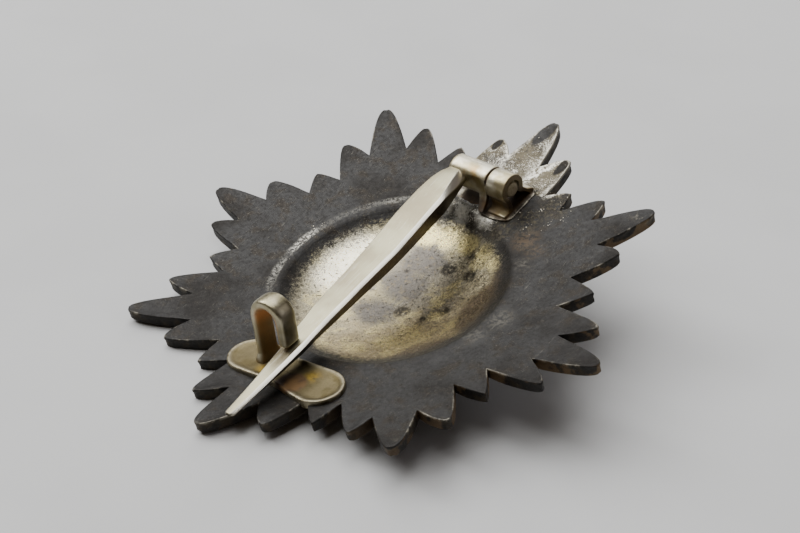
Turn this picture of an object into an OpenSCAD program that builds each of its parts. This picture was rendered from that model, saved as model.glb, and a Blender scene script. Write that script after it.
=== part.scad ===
// Award badge: a silver star of many rays, lying face down on its boss and two ray tips.
// The back carries a flat pin blade on a riveted hinge, and a bent strip catch on a lobed foot.
// Sizes are millimetres. The star is drawn back up, flat on its own axis, and then leant over
// and lifted so that it rests on the plane z = 0.

/* [Star] */
// How far the tips of the star rise above its middle, as in a shallow saucer
star_rise = 3; // [2:0.1:4]
// Thickness of the metal along the valleys between the rays
valley_t = 1.15; // [1:0.05:1.5]
// Thickness of the metal at a long ray's tip
tip_t = 1.25; // [1.1:0.05:1.6]
// Thickness that the front would have at the star's middle
middle_t = 1.5; // [1.4:0.1:1.8]
// Distance from the middle to a notch beside a long ray
outer_notch = 19.5; // [18.5:0.1:20]
// Distance from the middle to a notch beside a short ray
inner_notch = 17.3; // [16.5:0.1:18]

/* [Boss] */
// Radius of the hollow pressed into the back
dish_r = 11.5; // [10.5:0.1:11.8]
// Depth of that hollow below its rim
dish_depth = 2.8; // [2:0.1:3.2]
// Radius of the boss on the front
boss_r = 11; // [10.8:0.1:11.4]
// Metal left between the hollow and the boss at the middle
boss_wall = 1.2; // [1:0.1:1.6]
// Height of the boss's plain side
boss_step = 0.15; // [0.1:0.05:0.3]
// Radius of the round button at the middle of the boss
button_r = 1.6; // [1.5:0.1:1.8]
// How far the button stands out of the boss
button_out = 1.15; // [1.1:0.05:1.3]
// Metal worn off the button where the star rests on it
button_worn = 0.3; // [0.2:0.05:0.4]

/* [Hinge] */
// Distance from the star's middle to the gap between the hinge's two knuckles
hinge_far = 13.8; // [13.6:0.1:14]
// Direction of that gap from the star's middle, in degrees
hinge_at = 38; // [37:0.5:39]
// Direction that the barrel looks in, square to its rivet, in degrees
hinge_faces = 225; // [223:0.5:227]
// Height of the rivet's axis above the star's rim plane
axis_up = 0.47; // [0.4:0.01:0.6]
// Outer radius of the barrel
barrel_r = 1.5; // [1.45:0.05:1.6]
// Radius of the rivet
rivet_r = 0.88; // [0.8:0.02:0.95]
// Running clearance between the rivet and the pin's knuckle, on the radius
clearance = 0.04; // [0.02:0.01:0.08]
// Distance from the gap to the outer end of the bracket's knuckle
bracket_len = 2.35; // [2.2:0.05:2.5]
// Distance from the gap to the outer end of the pin's knuckle
pin_len = 4.88; // [4.6:0.02:5]
// Gap between the two knuckles
side_gap = 0.14; // [0.1:0.01:0.18]
// Thickness of the bracket's base strip
base_t = 0.35; // [0.3:0.05:0.45]

/* [Pin] */
// Direction that the blade points in, in degrees
blade_points = 231.5; // [230.5:0.5:232.5]
// Length of the blade from the rivet's axis to its tip
blade_len = 36.2; // [35:0.1:37]
// Width of the bevel along each edge of the blade
bevel = 0.28; // [0.2:0.01:0.35]

/* [Catch] */
// Distance of the catch from the star's middle
catch_far = 15.5; // [15.2:0.1:15.8]
// Direction of the catch from the star's middle, in degrees
catch_at = 229.1; // [228.5:0.1:229.7]
// Length of the lobed foot
foot_len = 13.4; // [12.8:0.1:13.8]
// Radius of a lobe
lobe_r = 2.45; // [2.3:0.05:2.7]
// Thickness of the foot
foot_t = 0.5; // [0.4:0.05:0.6]
// Turn of the foot from square across the blade, in degrees
foot_turn = -5.5; // [-8:0.1:-3]
// Thickness of the hook's strip
strip_t = 1.05; // [0.9:0.05:1.1]
// Width of the hook's strip
strip_w = 2.1; // [1.9:0.1:2.3]
// Inner radius of the hook's bend
hook_in = 0.95; // [0.9:0.05:1.1]
// Height of the hook above the star's back
hook_up = 7.3; // [6.8:0.1:7.6]
// Height at which the hook's free end stops
lip_up = 2.83; // [2.78:0.01:2.95]

/* [Hidden] */
// Smoothness of round faces
$fn = 96;
// Seam left between two soldered pieces
seam = 0.03;
// Radius of the circle that the long rays reach
reach = 25;
// One row for each eighth of the star, starting at the left and going clockwise.
// Columns: long ray, medium ray, short ray, medium ray, each as [length, turn in degrees].
ARMS = [
    [[25.3, 0.5], [22.2, 0.5], [19.5, 0.5], [21.7, 0]],
    [[24.4, 1], [21.2, 0.5], [19.4, -0.5], [21.9, 0]],
    [[25.4, -1], [22.2, -0.5], [19.6, -1], [21.4, -0.5]],
    [[24.9, -0.5], [21.8, -1.5], [19.3, -1], [21.4, 1]],
    [[25.2, 1], [21.6, 1.5], [20.1, -1.5], [22.6, -2.5]],
    [[25.9, -2], [23.1, -0.5], [20.4, 0], [22.2, 0.5]],
    [[24.3, -1], [21.4, 0], [20.3, 1], [21.8, 1]],
    [[24.8, 0], [22.2, 0.5], [20.0, 1.5], [22.1, 0.5]]
];
// Fullness of a ray's sides, for a long, medium, short and medium ray: 1 is straight
FULLNESS = [0.44, 0.6, 0.8, 0.6];
// Stations along a ray's side, from the notch to the tip
LONG_STEPS = [0, 0.3, 0.55, 0.75, 0.9, 1];
PLAIN_STEPS = [0, 0.35, 0.7, 1];
RAYS = 32;

// The saucer's back face is part of a sphere, and its front face of a smaller one
back_r = (reach * reach + star_rise * star_rise) / (2 * star_rise);
back_mid = back_r - star_rise;
front_drop = middle_t + star_rise - tip_t;
front_r = (reach * reach + front_drop * front_drop) / (2 * front_drop);
front_mid = front_r - middle_t - star_rise;

function back_z(r) = back_mid - sqrt(back_r * back_r - r * r);
function front_z(r) = front_mid - sqrt(front_r * front_r - r * r);
function slope_at(r) = asin(r / back_r);

// Rays
function spec(j) = ARMS[floor(j / 4) % 8][j % 4];
function ray_len(j) = spec(j)[0];
function ray_at(j) = 180 - j * 360 / RAYS + spec(j)[1];
function notch_at(j) = (ray_at(j) + ray_at(j + 1)) / 2;
function notch_r(j) = j % 4 == 0 || j % 4 == 3 ? outer_notch : inner_notch;
function polar(r, a) = [r * cos(a), r * sin(a)];
function spun(p, a) = [p[0] * cos(a) - p[1] * sin(a), p[0] * sin(a) + p[1] * cos(a)];
function flank(j, notch, steps) =
    [for (s = steps)
        spun([notch[0] + (ray_len(j) - notch[0]) * s, notch[1] * pow(1 - s, FULLNESS[j % 4])], ray_at(j))];
function steps_of(j) = j % 4 == 0 ? LONG_STEPS : PLAIN_STEPS;
function inner_steps(steps) = [for (i = [len(steps) - 2 : -1 : 1]) steps[i]];
function before(j) = j == 0 ? notch_at(RAYS - 1) + 360 : notch_at(j - 1);
function ray_outline(j) = concat(
    flank(j, polar(notch_r((j + RAYS - 1) % RAYS), before(j) - ray_at(j)), steps_of(j)),
    flank(j, polar(notch_r(j), notch_at(j) - ray_at(j)), inner_steps(steps_of(j))));
OUTLINE = [for (j = [0 : RAYS - 1]) each ray_outline(j)];

// Boss and hollow
rim_z = back_z(dish_r);
dish_floor = rim_z - dish_depth;
boss_apex = dish_floor - boss_wall;
boss_edge = front_z(boss_r) - boss_step;
boss_drop = boss_edge - boss_apex;
dome_r = (boss_r * boss_r + boss_drop * boss_drop) / (2 * boss_drop);
button_mid = boss_apex - button_out + button_r;
shoulder = 0.55;
// Metal worn off the tips that the star rests on
worn = 0.04;
DISH_STEPS = 12;
function dish_z(r) = dish_floor + dish_depth * pow(r / dish_r, 2.8);

// Lean of the resting star: its worn button and the tips of the two medium rays of the last
// group stand on z = 0
FEET = [29, 31];
lean_to = (ray_at(FEET[0]) + ray_at(FEET[1])) / 2 + 360;
foot_r = (ray_len(FEET[0]) + ray_len(FEET[1])) / 2;
foot_out = foot_r * cos((ray_at(FEET[0]) - ray_at(FEET[1])) / 2);
foot_up = button_mid - front_z(foot_r) - worn;
button_stands = button_r - button_worn;
lean = asin(button_stands / norm([foot_out, foot_up])) - atan2(foot_up, foot_out);
lift = button_stands - button_mid * cos(lean);
function leant(p) =
    let (along = p[0] * cos(lean_to) + p[1] * sin(lean_to))
    let (across = p[1] * cos(lean_to) - p[0] * sin(lean_to))
    let (far = along * cos(lean) + p[2] * sin(lean))
    [far * cos(lean_to) - across * sin(lean_to), far * sin(lean_to) + across * cos(lean_to)];
TIPS = [for (j = [0 : RAYS - 1]) for (z = [back_z(ray_len(j)), front_z(ray_len(j))])
    leant([for (c = polar(ray_len(j), ray_at(j))) c, z])];
mid_x = (max([for (p = TIPS) p[0]]) + min([for (p = TIPS) p[0]])) / 2;
mid_y = (max([for (p = TIPS) p[1]]) + min([for (p = TIPS) p[1]])) / 2;

// Hinge
knuckle_from = side_gap / 2;
pin_to = -side_gap / 2;
bore_r = rivet_r + clearance;
barrel_up = axis_up - back_z(hinge_far);
base_lean = slope_at(hinge_far);
// Peened head that keeps the pin's knuckle on the rivet
head_t = 0.2;
// Distance from the rivet's axis to the flat filed on the front of the pin's knuckle, and its length
filed = 1.12;
filed_len = 2.9;
head_r = rivet_r + 0.3;
// Across the rivet: x is towards the pin's tip and the second number is up from the rivet's axis
FRONT_LEG = [
    [1.5, 0.15], [1.42, -0.4], [1.15, -0.9], [0.98, -1.5], [0.95, -1.9], [1.15, -2.12], [1.8, -2.2],
    [1.82, -2.75], [0.45, -2.75], [0.42, -1.9], [0.5, -1.3], [0.62, -0.85], [0.95, -0.4]
];
BACK_LEG = [
    [-1.35, -0.6], [-1.9, -1.2], [-2.65, -1.6], [-2.75, -1.75], [-2.72, -2.3], [-2.2, -2.3],
    [-2.15, -1.85], [-1.55, -1.3], [-0.95, -0.95], [-0.75, -0.75], [-0.95, -0.45]
];
LEGS_HOLLOW = [
    [0.75, -0.4], [0.62, -0.85], [0.5, -1.3], [0.42, -1.9], [0.42, -3], [-2.2, -3],
    [-2.15, -1.85], [-1.55, -1.3], [-0.95, -0.95], [-0.6, -0.6]
];
// Base strip seen from above: x as before, and along the rivet from the gap
BASE = [
    [2.3, -4.5], [2.3, 0.7], [2.15, 1.6], [1.8, 2.5], [1.4, 2.85], [-2.3, 2.85],
    [-2.8, 2.4], [-2.8, -4.6], [-2.4, -5], [1.8, -5]
];

// Blade: distance from the root, height of its top above the rivet's axis, width of its flat to
// the left and to the right of its own line, and thickness
BLADE = [
    [0.2, 0.95, 0.6, 0.9, 1],
    [1, 1.1, 0.8, 1, 1.15],
    [1.7, 1.18, 1.1, 1.12, 1.3],
    [3, 1.19, 1.38, 1.22, 1.55],
    [5, 1.13, 1.52, 1.34, 1.85],
    [8.5, 0.95, 1.52, 1.42, 1.75],
    [13, 0.52, 1.42, 1.34, 1.55],
    [17, 0.42, 1.2, 1.2, 1.45],
    [22, 0.32, 1.1, 1.1, 1.35],
    [26.5, 0, 0.82, 0.82, 1.15],
    [31, -0.08, 0.55, 0.55, 0.85],
    [blade_len, -0.1, 0.3, 0.3, 0.5]
];
blade_x = 0.42;
blade_y = -3.96;
SECTION = 6;
// The knuckle's tail: its side, and its width seen from the blade's tip
TAIL_SIDE = [
    [0.95, 1.05], [1.12, 0.98], [1.15, 0.2], [1.2, -0.5], [1.35, -1], [1.65, -1.5], [2.1, -1.95],
    [2.38, -2.15], [2.3, -2.34], [2, -2.3], [1.55, -2], [1.2, -1.6], [1, -1.15], [0.95, -0.8]
];
TAIL_FRONT = [
    [-3.1, 1.3], [pin_to, 1.3], [pin_to, -2.4], [-0.3, -2.4], [-0.8, -1.95], [-0.98, -1.3],
    [-1.15, -0.75], [-1.6, -0.3], [-2.2, -0.1], [-3.1, -0.1]
];

// Catch
catch_lean = slope_at(catch_far);
hook_mid_y = -1.6;
hook_near = -0.5;
hook_out = hook_in + strip_t;
hook_mid_up = hook_up - hook_out;
lobe_at = foot_len / 2 - lobe_r;
foot_far = -0.5;
foot_side = -0.3;
waist = 2;

// Leans the star and stands it on z = 0
module at_rest() {
    translate([-mid_x, -mid_y, lift])
        rotate(a = lean, v = [-sin(lean_to), cos(lean_to), 0])
            children();
}

// Everything inside the ball that the star's back face is part of, less a seam
module above_back(gap) {
    translate([0, 0, back_mid])
        sphere(r = back_r - gap, $fn = 256);
}

// The valley between two rays on the front
module valley(j) {
    from = boss_r - 0.4;
    fall = atan2(back_z(notch_r(j)) - back_z(from), notch_r(j) - from);
    rotate([0, 0, notch_at(j)])
        translate([from, 0, back_z(from) - valley_t])
            rotate([0, -fall, 0])
                rotate([90, 0, 90])
                    linear_extrude(reach)
                        polygon([[0, 0], [-4, -1.8], [4, -1.8]]);
}

// The hollow of the boss, with a rounded rim
module dish() {
    rotate_extrude()
        polygon(concat(
            [[0, 1]],
            [for (i = [0 : DISH_STEPS]) let (r = (dish_r - shoulder) * i / DISH_STEPS) [r, dish_z(r)]],
            [[dish_r - shoulder * 0.3, rim_z - shoulder * 0.28],
             [dish_r + shoulder * 0.6, back_z(dish_r + shoulder * 0.6) + 0.004],
             [dish_r + shoulder * 0.6, 1]]));
}

module star_plate() {
    color([0.42, 0.41, 0.38])
    difference() {
        at_rest() star();
        translate([-30, -30, -3])
            cube([60, 60, 3]);
    }
}

// The whole star, flat on its own axis
module star() {
    difference() {
        union() {
            difference() {
                intersection() {
                    translate([0, 0, -7])
                        linear_extrude(8)
                            polygon(OUTLINE);
                    translate([0, 0, front_mid])
                        sphere(r = front_r, $fn = 256);
                }
                for (j = [0 : RAYS - 1]) valley(j);
            }
            intersection() {
                translate([0, 0, boss_apex - 1])
                    cylinder(r = boss_r, h = 6);
                translate([0, 0, boss_apex + dome_r])
                    sphere(r = dome_r, $fn = 256);
            }
            translate([0, 0, button_mid])
                sphere(r = button_r);
        }
        above_back(0);
        dish();
    }
}

// Puts a piece drawn across the rivet in its place: x towards the tip, y along the rivet
module at_hinge() {
    at_rest()
    translate([hinge_far * cos(hinge_at), hinge_far * sin(hinge_at), axis_up])
        rotate([0, 0, hinge_faces])
            children();
}

// A plate of the given outline, drawn across the rivet, from one place along it to another
module along_rivet(from, to) {
    translate([0, to, 0])
        rotate([90, 0, 0])
            linear_extrude(to - from)
                children();
}

// The bracket's strip: over the rivet, and down before and behind it to the base
module bracket_side() {
    difference() {
        union() {
            circle(r = barrel_r);
            polygon(FRONT_LEG);
            polygon(BACK_LEG);
        }
        circle(r = rivet_r + 0.012);
        polygon(LEGS_HOLLOW);
    }
}

// The strip that the whole bracket stands on
module bracket_base() {
    translate([0, 0, -barrel_up])
        rotate([0, base_lean, 0])
            translate([0, 0, -0.4])
                linear_extrude(base_t + 0.4)
                    polygon(BASE);
}

module hinge_bracket() {
    color([0.72, 0.68, 0.56])
    difference() {
        at_hinge()
        union() {
            along_rivet(knuckle_from, bracket_len) bracket_side();
            bracket_base();
        }
        at_rest()
        difference() {
            translate([0, 0, -20])
                cylinder(r = reach, h = 21);
            above_back(seam);
        }
    }
}

module hinge_rivet() {
    color([0.66, 0.61, 0.47])
    at_hinge()
    rotate([90, 0, 0]) {
        translate([0, 0, -bracket_len + 0.02])
            cylinder(r = rivet_r, h = bracket_len + pin_len + head_t);
        translate([0, 0, pin_len + 0.05])
            cylinder(r1 = head_r, r2 = head_r - 0.18, h = head_t);
    }
}

// One six sided section across the blade
function blade_section(row) =
    let (x = row[0], top = row[1], left = row[2], right = row[3], foot = top - row[4])
    let (skirt = bevel * 0.6)
    [
        [x, -left, top], [x, right, top], [x, right + bevel, top - bevel],
        [x, right + skirt, foot], [x, -left - skirt, foot], [x, -left - bevel, top - bevel]
    ];

module blade() {
    last = len(BLADE) - 1;
    polyhedron(
        points = [for (row = BLADE) each blade_section(row)],
        faces = concat(
            [[for (i = [SECTION - 1 : -1 : 0]) i]],
            [[for (i = [0 : SECTION - 1]) last * SECTION + i]],
            [for (s = [0 : last - 1]) for (i = [0 : SECTION - 1])
                let (a = s * SECTION + i, b = s * SECTION + (i + 1) % SECTION)
                each [[a, b, b + SECTION], [a, b + SECTION, a + SECTION]]]));
}

// The knuckle's tail, which bears on the base, beside the arch under the barrel
module tail() {
    intersection() {
        along_rivet(-3, pin_to) polygon(TAIL_SIDE);
        rotate([90, 0, 90])
            linear_extrude(3)
                polygon(TAIL_FRONT);
    }
}

module pin_blade() {
    color([0.86, 0.84, 0.78])
    at_hinge()
    difference() {
        union() {
            difference() {
                along_rivet(-pin_len, pin_to)
                    circle(r = barrel_r);
                translate([filed, -filed_len, -2])
                    cube([2, filed_len + 1, 4]);
            }
            translate([blade_x, blade_y, 0])
                rotate([0, 0, blade_points - hinge_faces])
                    blade();
            tail();
        }
        along_rivet(-pin_len - 1, pin_to + 1)
            circle(r = bore_r);
    }
}

// Puts a piece drawn on the star's back at the catch: x outwards, y across the blade, z square to the back
module at_catch() {
    at_rest()
    translate([catch_far * cos(catch_at), catch_far * sin(catch_at), back_z(catch_far)])
        rotate([0, 0, blade_points + 0.5])
            rotate([0, -catch_lean, 0])
                children();
}

// The foot's outline: two round lobes and a waist
module foot_outline() {
    for (side = [-1, 1])
        translate([0, side * lobe_at])
            circle(r = lobe_r);
    polygon([
        [waist, 0], [lobe_r * 0.96, lobe_at - 0.6], [-lobe_r * 0.96, lobe_at - 0.6],
        [-waist, 0], [-lobe_r * 0.96, 0.6 - lobe_at], [lobe_r * 0.96, 0.6 - lobe_at]
    ]);
}

// The hook's strip seen along the blade: x is across the blade and y is up
module hook_side() {
    difference() {
        union() {
            translate([0, hook_mid_up])
                circle(r = hook_out);
            translate([-hook_out, 0.2])
                square([strip_t, hook_mid_up - 0.2]);
            translate([hook_in, lip_up])
                square([strip_t, hook_mid_up - lip_up]);
        }
        translate([0, hook_mid_up])
            circle(r = hook_in);
        translate([-hook_in, 0])
            square([2 * hook_in, hook_mid_up]);
        translate([hook_in - 1, 0])
            square([hook_out + 2, lip_up]);
    }
}

module catch() {
    color([0.76, 0.70, 0.50])
    difference() {
        at_catch() {
            rotate([0, 0, foot_turn])
                translate([foot_far, foot_side, -0.5])
                    linear_extrude(foot_t + 0.5)
                        foot_outline();
            translate([hook_near, hook_mid_y, 0])
                rotate([90, 0, -90])
                    mirror([1, 0, 0])
                    linear_extrude(strip_w)
                        hook_side();
        }
        at_rest()
        difference() {
            translate([0, 0, -20])
                cylinder(r = reach, h = 21);
            above_back(seam);
        }
    }
}

star_plate();
hinge_bracket();
hinge_rivet();
pin_blade();
catch();
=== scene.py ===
"""Back of a star-shaped award badge: cast silver star, riveted pin blade and strip catch.

Every piece is drawn in the star's own frame, in millimetres, with the star flat and its back
up. One matrix then leans it on its button and ray tips, as it lies, and turns millimetres
into metres.
"""

import logging
import math
from dataclasses import dataclass
from enum import Enum
from functools import partial, reduce
from typing import Iterable, Sequence

import bmesh
import bpy
import numpy as np
from mathutils import Matrix, Vector, noise

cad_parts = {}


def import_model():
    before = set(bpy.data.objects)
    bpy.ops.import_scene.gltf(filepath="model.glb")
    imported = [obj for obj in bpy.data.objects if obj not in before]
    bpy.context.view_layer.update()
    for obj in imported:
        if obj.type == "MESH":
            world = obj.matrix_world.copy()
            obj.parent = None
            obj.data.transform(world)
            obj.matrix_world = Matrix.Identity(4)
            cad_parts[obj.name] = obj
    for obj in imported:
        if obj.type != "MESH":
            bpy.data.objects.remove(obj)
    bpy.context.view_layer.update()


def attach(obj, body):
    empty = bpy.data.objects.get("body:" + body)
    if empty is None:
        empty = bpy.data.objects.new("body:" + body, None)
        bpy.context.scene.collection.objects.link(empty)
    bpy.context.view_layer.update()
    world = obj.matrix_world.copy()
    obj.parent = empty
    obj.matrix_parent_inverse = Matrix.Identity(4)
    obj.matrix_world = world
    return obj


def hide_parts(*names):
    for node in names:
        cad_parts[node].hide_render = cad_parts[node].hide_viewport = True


LOG = logging.getLogger("award_badge")
MM = 0.001
# Millimetres that no piece reaches, for a look that a piece doesn't have
BEYOND = 99.0
Point = tuple[float, float, float]
Flat = tuple[float, float]
Faces = list[tuple[int, ...]]
MeshData = tuple[np.ndarray, Faces]


class Slot(Enum):
    """Material slots of the record."""

    STAR = "tarnished_silver"
    BLADE = "bright_silver"
    GILT = "gilt_silver"


class Body(Enum):
    """Rigid bodies of the record."""

    BADGE = "badge"
    PIN = "pin"


def smoothstep(low: float, high: float, value: np.ndarray | float) -> np.ndarray:
    """Eases from 0 at low to 1 at high.

    Args:
        low: Value where the step starts.
        high: Value where it ends; it may be the smaller of the two.
        value: Where it is read.

    Returns:
        The step, between 0 and 1.
    """
    t = np.clip((np.asarray(value, float) - low) / (high - low), 0.0, 1.0)
    return t * t * (3.0 - 2.0 * t)


def waves(points: np.ndarray, size: float, seed: float, detail: int = 2) -> np.ndarray:
    """Smooth random heights over a set of points.

    Args:
        points: One row of x, y, z for each point, in millimetres.
        size: Width of the largest bumps, in millimetres.
        seed: Shifts the pattern, so that two calls differ.
        detail: How many finer layers are added, each half as large.

    Returns:
        One height for each point, about -1 to 1.
    """
    return np.array(
        [
            noise.fractal(Vector(p) / size + Vector((seed, seed, seed)), 0.6, 2.0, detail)
            for p in points
        ]
    )


# The star's form


@dataclass(frozen=True)
class StarForm:
    """Sizes of the star, in millimetres, and the places that follow from them."""

    reach: float = 25.0
    rise: float = 3.0
    valley_t: float = 1.15
    tip_t: float = 1.25
    middle_t: float = 1.5
    outer_notch: float = 19.5
    inner_notch: float = 17.3
    dish_r: float = 11.5
    dish_depth: float = 2.8
    boss_r: float = 11.0
    boss_wall: float = 1.2
    boss_step: float = 0.15
    button_r: float = 1.6
    button_out: float = 1.15
    button_worn: float = 0.3
    worn: float = 0.04
    feet: tuple[int, int] = (29, 31)
    fullness: tuple[float, ...] = (0.44, 0.6, 0.8, 0.6)
    # One row for each eighth, clockwise from the left: long, medium, short and medium ray,
    # each as its length and its turn in degrees
    arms: tuple[tuple[Flat, Flat, Flat, Flat], ...] = (
        ((25.3, 0.5), (22.2, 0.5), (19.5, 0.5), (21.7, 0.0)),
        ((24.4, 1.0), (21.2, 0.5), (19.4, -0.5), (21.9, 0.0)),
        ((25.4, -1.0), (22.2, -0.5), (19.6, -1.0), (21.4, -0.5)),
        ((24.9, -0.5), (21.8, -1.5), (19.3, -1.0), (21.4, 1.0)),
        ((25.2, 1.0), (21.6, 1.5), (20.1, -1.5), (22.6, -2.5)),
        ((25.9, -2.0), (23.1, -0.5), (20.4, 0.0), (22.2, 0.5)),
        ((24.3, -1.0), (21.4, 0.0), (20.3, 1.0), (21.8, 1.0)),
        ((24.8, 0.0), (22.2, 0.5), (20.0, 1.5), (22.1, 0.5)),
    )
    rays: int = 32

    @property
    def back_r(self) -> float:
        """Radius of the ball that the back face is part of."""
        return (self.reach**2 + self.rise**2) / (2 * self.rise)

    @property
    def front_r(self) -> float:
        """Radius of the ball that the front's ridges lie on."""
        drop = self.middle_t + self.rise - self.tip_t
        return (self.reach**2 + drop**2) / (2 * drop)

    def back_z(self, r: np.ndarray | float) -> np.ndarray:
        """Height of the back face at a distance from the middle."""
        return self.back_r - self.rise - np.sqrt(self.back_r**2 - np.asarray(r, float) ** 2)

    def front_z(self, r: np.ndarray | float) -> np.ndarray:
        """Height of the front's ridges at a distance from the middle."""
        middle = self.front_r - self.middle_t - self.rise
        return middle - np.sqrt(self.front_r**2 - np.asarray(r, float) ** 2)

    @property
    def dish_floor(self) -> float:
        """Height of the hollow's lowest point."""
        return float(self.back_z(self.dish_r)) - self.dish_depth

    @property
    def boss_apex(self) -> float:
        """Height of the boss's lowest point, under the button."""
        return self.dish_floor - self.boss_wall

    @property
    def button_mid(self) -> float:
        """Height of the middle of the button's ball."""
        return self.boss_apex - self.button_out + self.button_r

    def ray(self, j: int) -> Flat:
        """Length and turn of ray j."""
        return self.arms[(j // 4) % 8][j % 4]

    def ray_at(self, j: int) -> float:
        """Direction of ray j, in degrees."""
        return 180.0 - j * 360.0 / self.rays + self.ray(j)[1]

    def notch(self, j: int) -> Flat:
        """Distance and direction of the notch between ray j and the next one."""
        r = self.outer_notch if j % 4 in (0, 3) else self.inner_notch
        return r, (self.ray_at(j) + self.ray_at(j + 1)) / 2

    @property
    def lean_to(self) -> float:
        """Direction that the star leans to, in degrees."""
        return (self.ray_at(self.feet[0]) + self.ray_at(self.feet[1])) / 2 + 360.0

    @property
    def lean(self) -> float:
        """Angle that the resting star leans by, in degrees."""
        first, last = self.feet
        foot_r = (self.ray(first)[0] + self.ray(last)[0]) / 2
        spread = math.radians(self.ray_at(first) - self.ray_at(last))
        out = foot_r * math.cos(spread / 2)
        up = self.button_mid - float(self.front_z(foot_r)) - self.worn
        stands = self.button_r - self.button_worn
        return math.degrees(math.asin(stands / math.hypot(out, up)) - math.atan2(up, out))

    def rest(self) -> Matrix:
        """Matrix that takes millimetres of the star's frame to metres of the row's frame.

        Returns:
            The 4 by 4 matrix.
        """
        toward = math.radians(self.lean_to)
        axis = Vector((-math.sin(toward), math.cos(toward), 0.0))
        turn = Matrix.Rotation(math.radians(self.lean), 4, axis)
        stands = self.button_r - self.button_worn
        lift = stands - self.button_mid * math.cos(math.radians(self.lean))
        tips = []
        for j in range(self.rays):
            r, a = self.ray(j)[0], math.radians(self.ray_at(j))
            for z in (self.back_z(r), self.front_z(r)):
                tips.append(turn @ Vector((r * math.cos(a), r * math.sin(a), float(z))))
        middle = [(max(t[k] for t in tips) + min(t[k] for t in tips)) / 2 for k in (0, 1)]
        shift = Matrix.Translation((-middle[0], -middle[1], lift))
        return Matrix.Scale(MM, 4) @ shift @ turn


STAR = StarForm()
REST = STAR.rest()


@dataclass(frozen=True)
class HingeForm:
    """Sizes of the hinge, in millimetres. Its x looks to the blade's tip and its y runs along the rivet."""

    far: float = 13.8
    at: float = 38.0
    faces: float = 225.0
    axis_up: float = 0.47
    barrel_r: float = 1.5
    rivet_r: float = 0.88
    clearance: float = 0.04
    bracket_len: float = 2.35
    pin_len: float = 4.88
    side_gap: float = 0.14
    base_t: float = 0.35
    head_t: float = 0.2
    blade_x: float = 0.42
    blade_y: float = -3.96
    blade_points: float = 231.5

    @property
    def barrel_up(self) -> float:
        """Height of the rivet's axis above the star's back."""
        return self.axis_up - float(STAR.back_z(self.far))

    def to_star(self) -> Matrix:
        """Matrix from the hinge's frame to the star's, both in millimetres."""
        a = math.radians(self.at)
        place = Matrix.Translation((self.far * math.cos(a), self.far * math.sin(a), self.axis_up))
        return place @ Matrix.Rotation(math.radians(self.faces), 4, "Z")

    def frame(self) -> Matrix:
        """Matrix from the hinge's frame to the row's."""
        return REST @ self.to_star()

    def blade_frame(self) -> Matrix:
        """Matrix from the blade's frame, x along its line, to the row's."""
        turn = math.radians(self.blade_points - self.faces)
        root = Matrix.Translation((self.blade_x, self.blade_y, 0.0))
        return self.frame() @ root @ Matrix.Rotation(turn, 4, "Z")


HINGE = HingeForm()


@dataclass(frozen=True)
class CatchForm:
    """Sizes of the catch, in millimetres. Its x looks outwards and its y runs across the blade."""

    far: float = 15.5
    at: float = 229.1
    points: float = 232.0
    foot_len: float = 13.4
    lobe_r: float = 2.45
    foot_t: float = 0.5
    foot_turn: float = -5.5
    foot_far: float = -0.5
    foot_side: float = -0.3
    waist: float = 2.0
    strip_t: float = 1.05
    strip_w: float = 2.1
    hook_in: float = 0.95
    hook_up: float = 7.3
    lip_up: float = 2.83
    hook_near: float = -0.5
    hook_mid_y: float = -1.6

    def frame(self) -> Matrix:
        """Matrix from the catch's frame to the row's."""
        a = math.radians(self.at)
        place = (self.far * math.cos(a), self.far * math.sin(a), float(STAR.back_z(self.far)))
        lean = -math.asin(self.far / STAR.back_r)
        spin = Matrix.Rotation(math.radians(self.points), 4, "Z") @ Matrix.Rotation(lean, 4, "Y")
        return REST @ Matrix.Translation(place) @ spin


CATCH = CatchForm()


# Meshes


def make_object(
    name: str,
    points: Sequence[Sequence[float]] | np.ndarray,
    faces: Iterable[Sequence[int]],
    place: Matrix = REST,
    marks: dict[str, np.ndarray] | None = None,
) -> bpy.types.Object:
    """Makes a smooth shaded object whose place is in its mesh.

    Args:
        name: Name of the object and its mesh.
        points: Points in millimetres, in the frame that place takes to the row.
        faces: Corners of each face.
        place: Matrix to the row's frame, in metres.
        marks: Numbers to keep on the points, by name.

    Returns:
        The new object, linked to the scene.
    """
    mesh = bpy.data.meshes.new(name)
    mesh.from_pydata(np.asarray(points, float).tolist(), [], [tuple(f) for f in faces])
    mesh.transform(place)
    for key, values in (marks or {}).items():
        mesh.attributes.new(key, "FLOAT", "POINT").data.foreach_set("value", np.asarray(values, float))
    work = bmesh.new()
    work.from_mesh(mesh)
    bmesh.ops.triangulate(work, faces=[f for f in work.faces if len(f.verts) > 4])
    if len(work.faces) > 1:
        bmesh.ops.recalc_face_normals(work, faces=work.faces)
    work.to_mesh(mesh)
    work.free()
    mesh.polygons.foreach_set("use_smooth", [True] * len(mesh.polygons))
    mesh.set_sharp_from_angle(angle=math.radians(50))
    mesh.update()
    made = bpy.data.objects.new(name, mesh)
    bpy.context.scene.collection.objects.link(made)
    return made


def skin(rings: np.ndarray) -> MeshData:
    """Joins closed rings of points one after another and caps both ends.

    Args:
        rings: Array of rings, points and coordinates.

    Returns:
        Points and faces.
    """
    count, size = rings.shape[:2]
    faces: Faces = []
    for k in range(count - 1):
        for i in range(size):
            n = (i + 1) % size
            faces.append((k * size + i, k * size + n, (k + 1) * size + n, (k + 1) * size + i))
    faces.append(tuple(range(size)))
    faces.append(tuple((count - 1) * size + i for i in range(size)))
    return rings.reshape(-1, 3), faces


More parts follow.
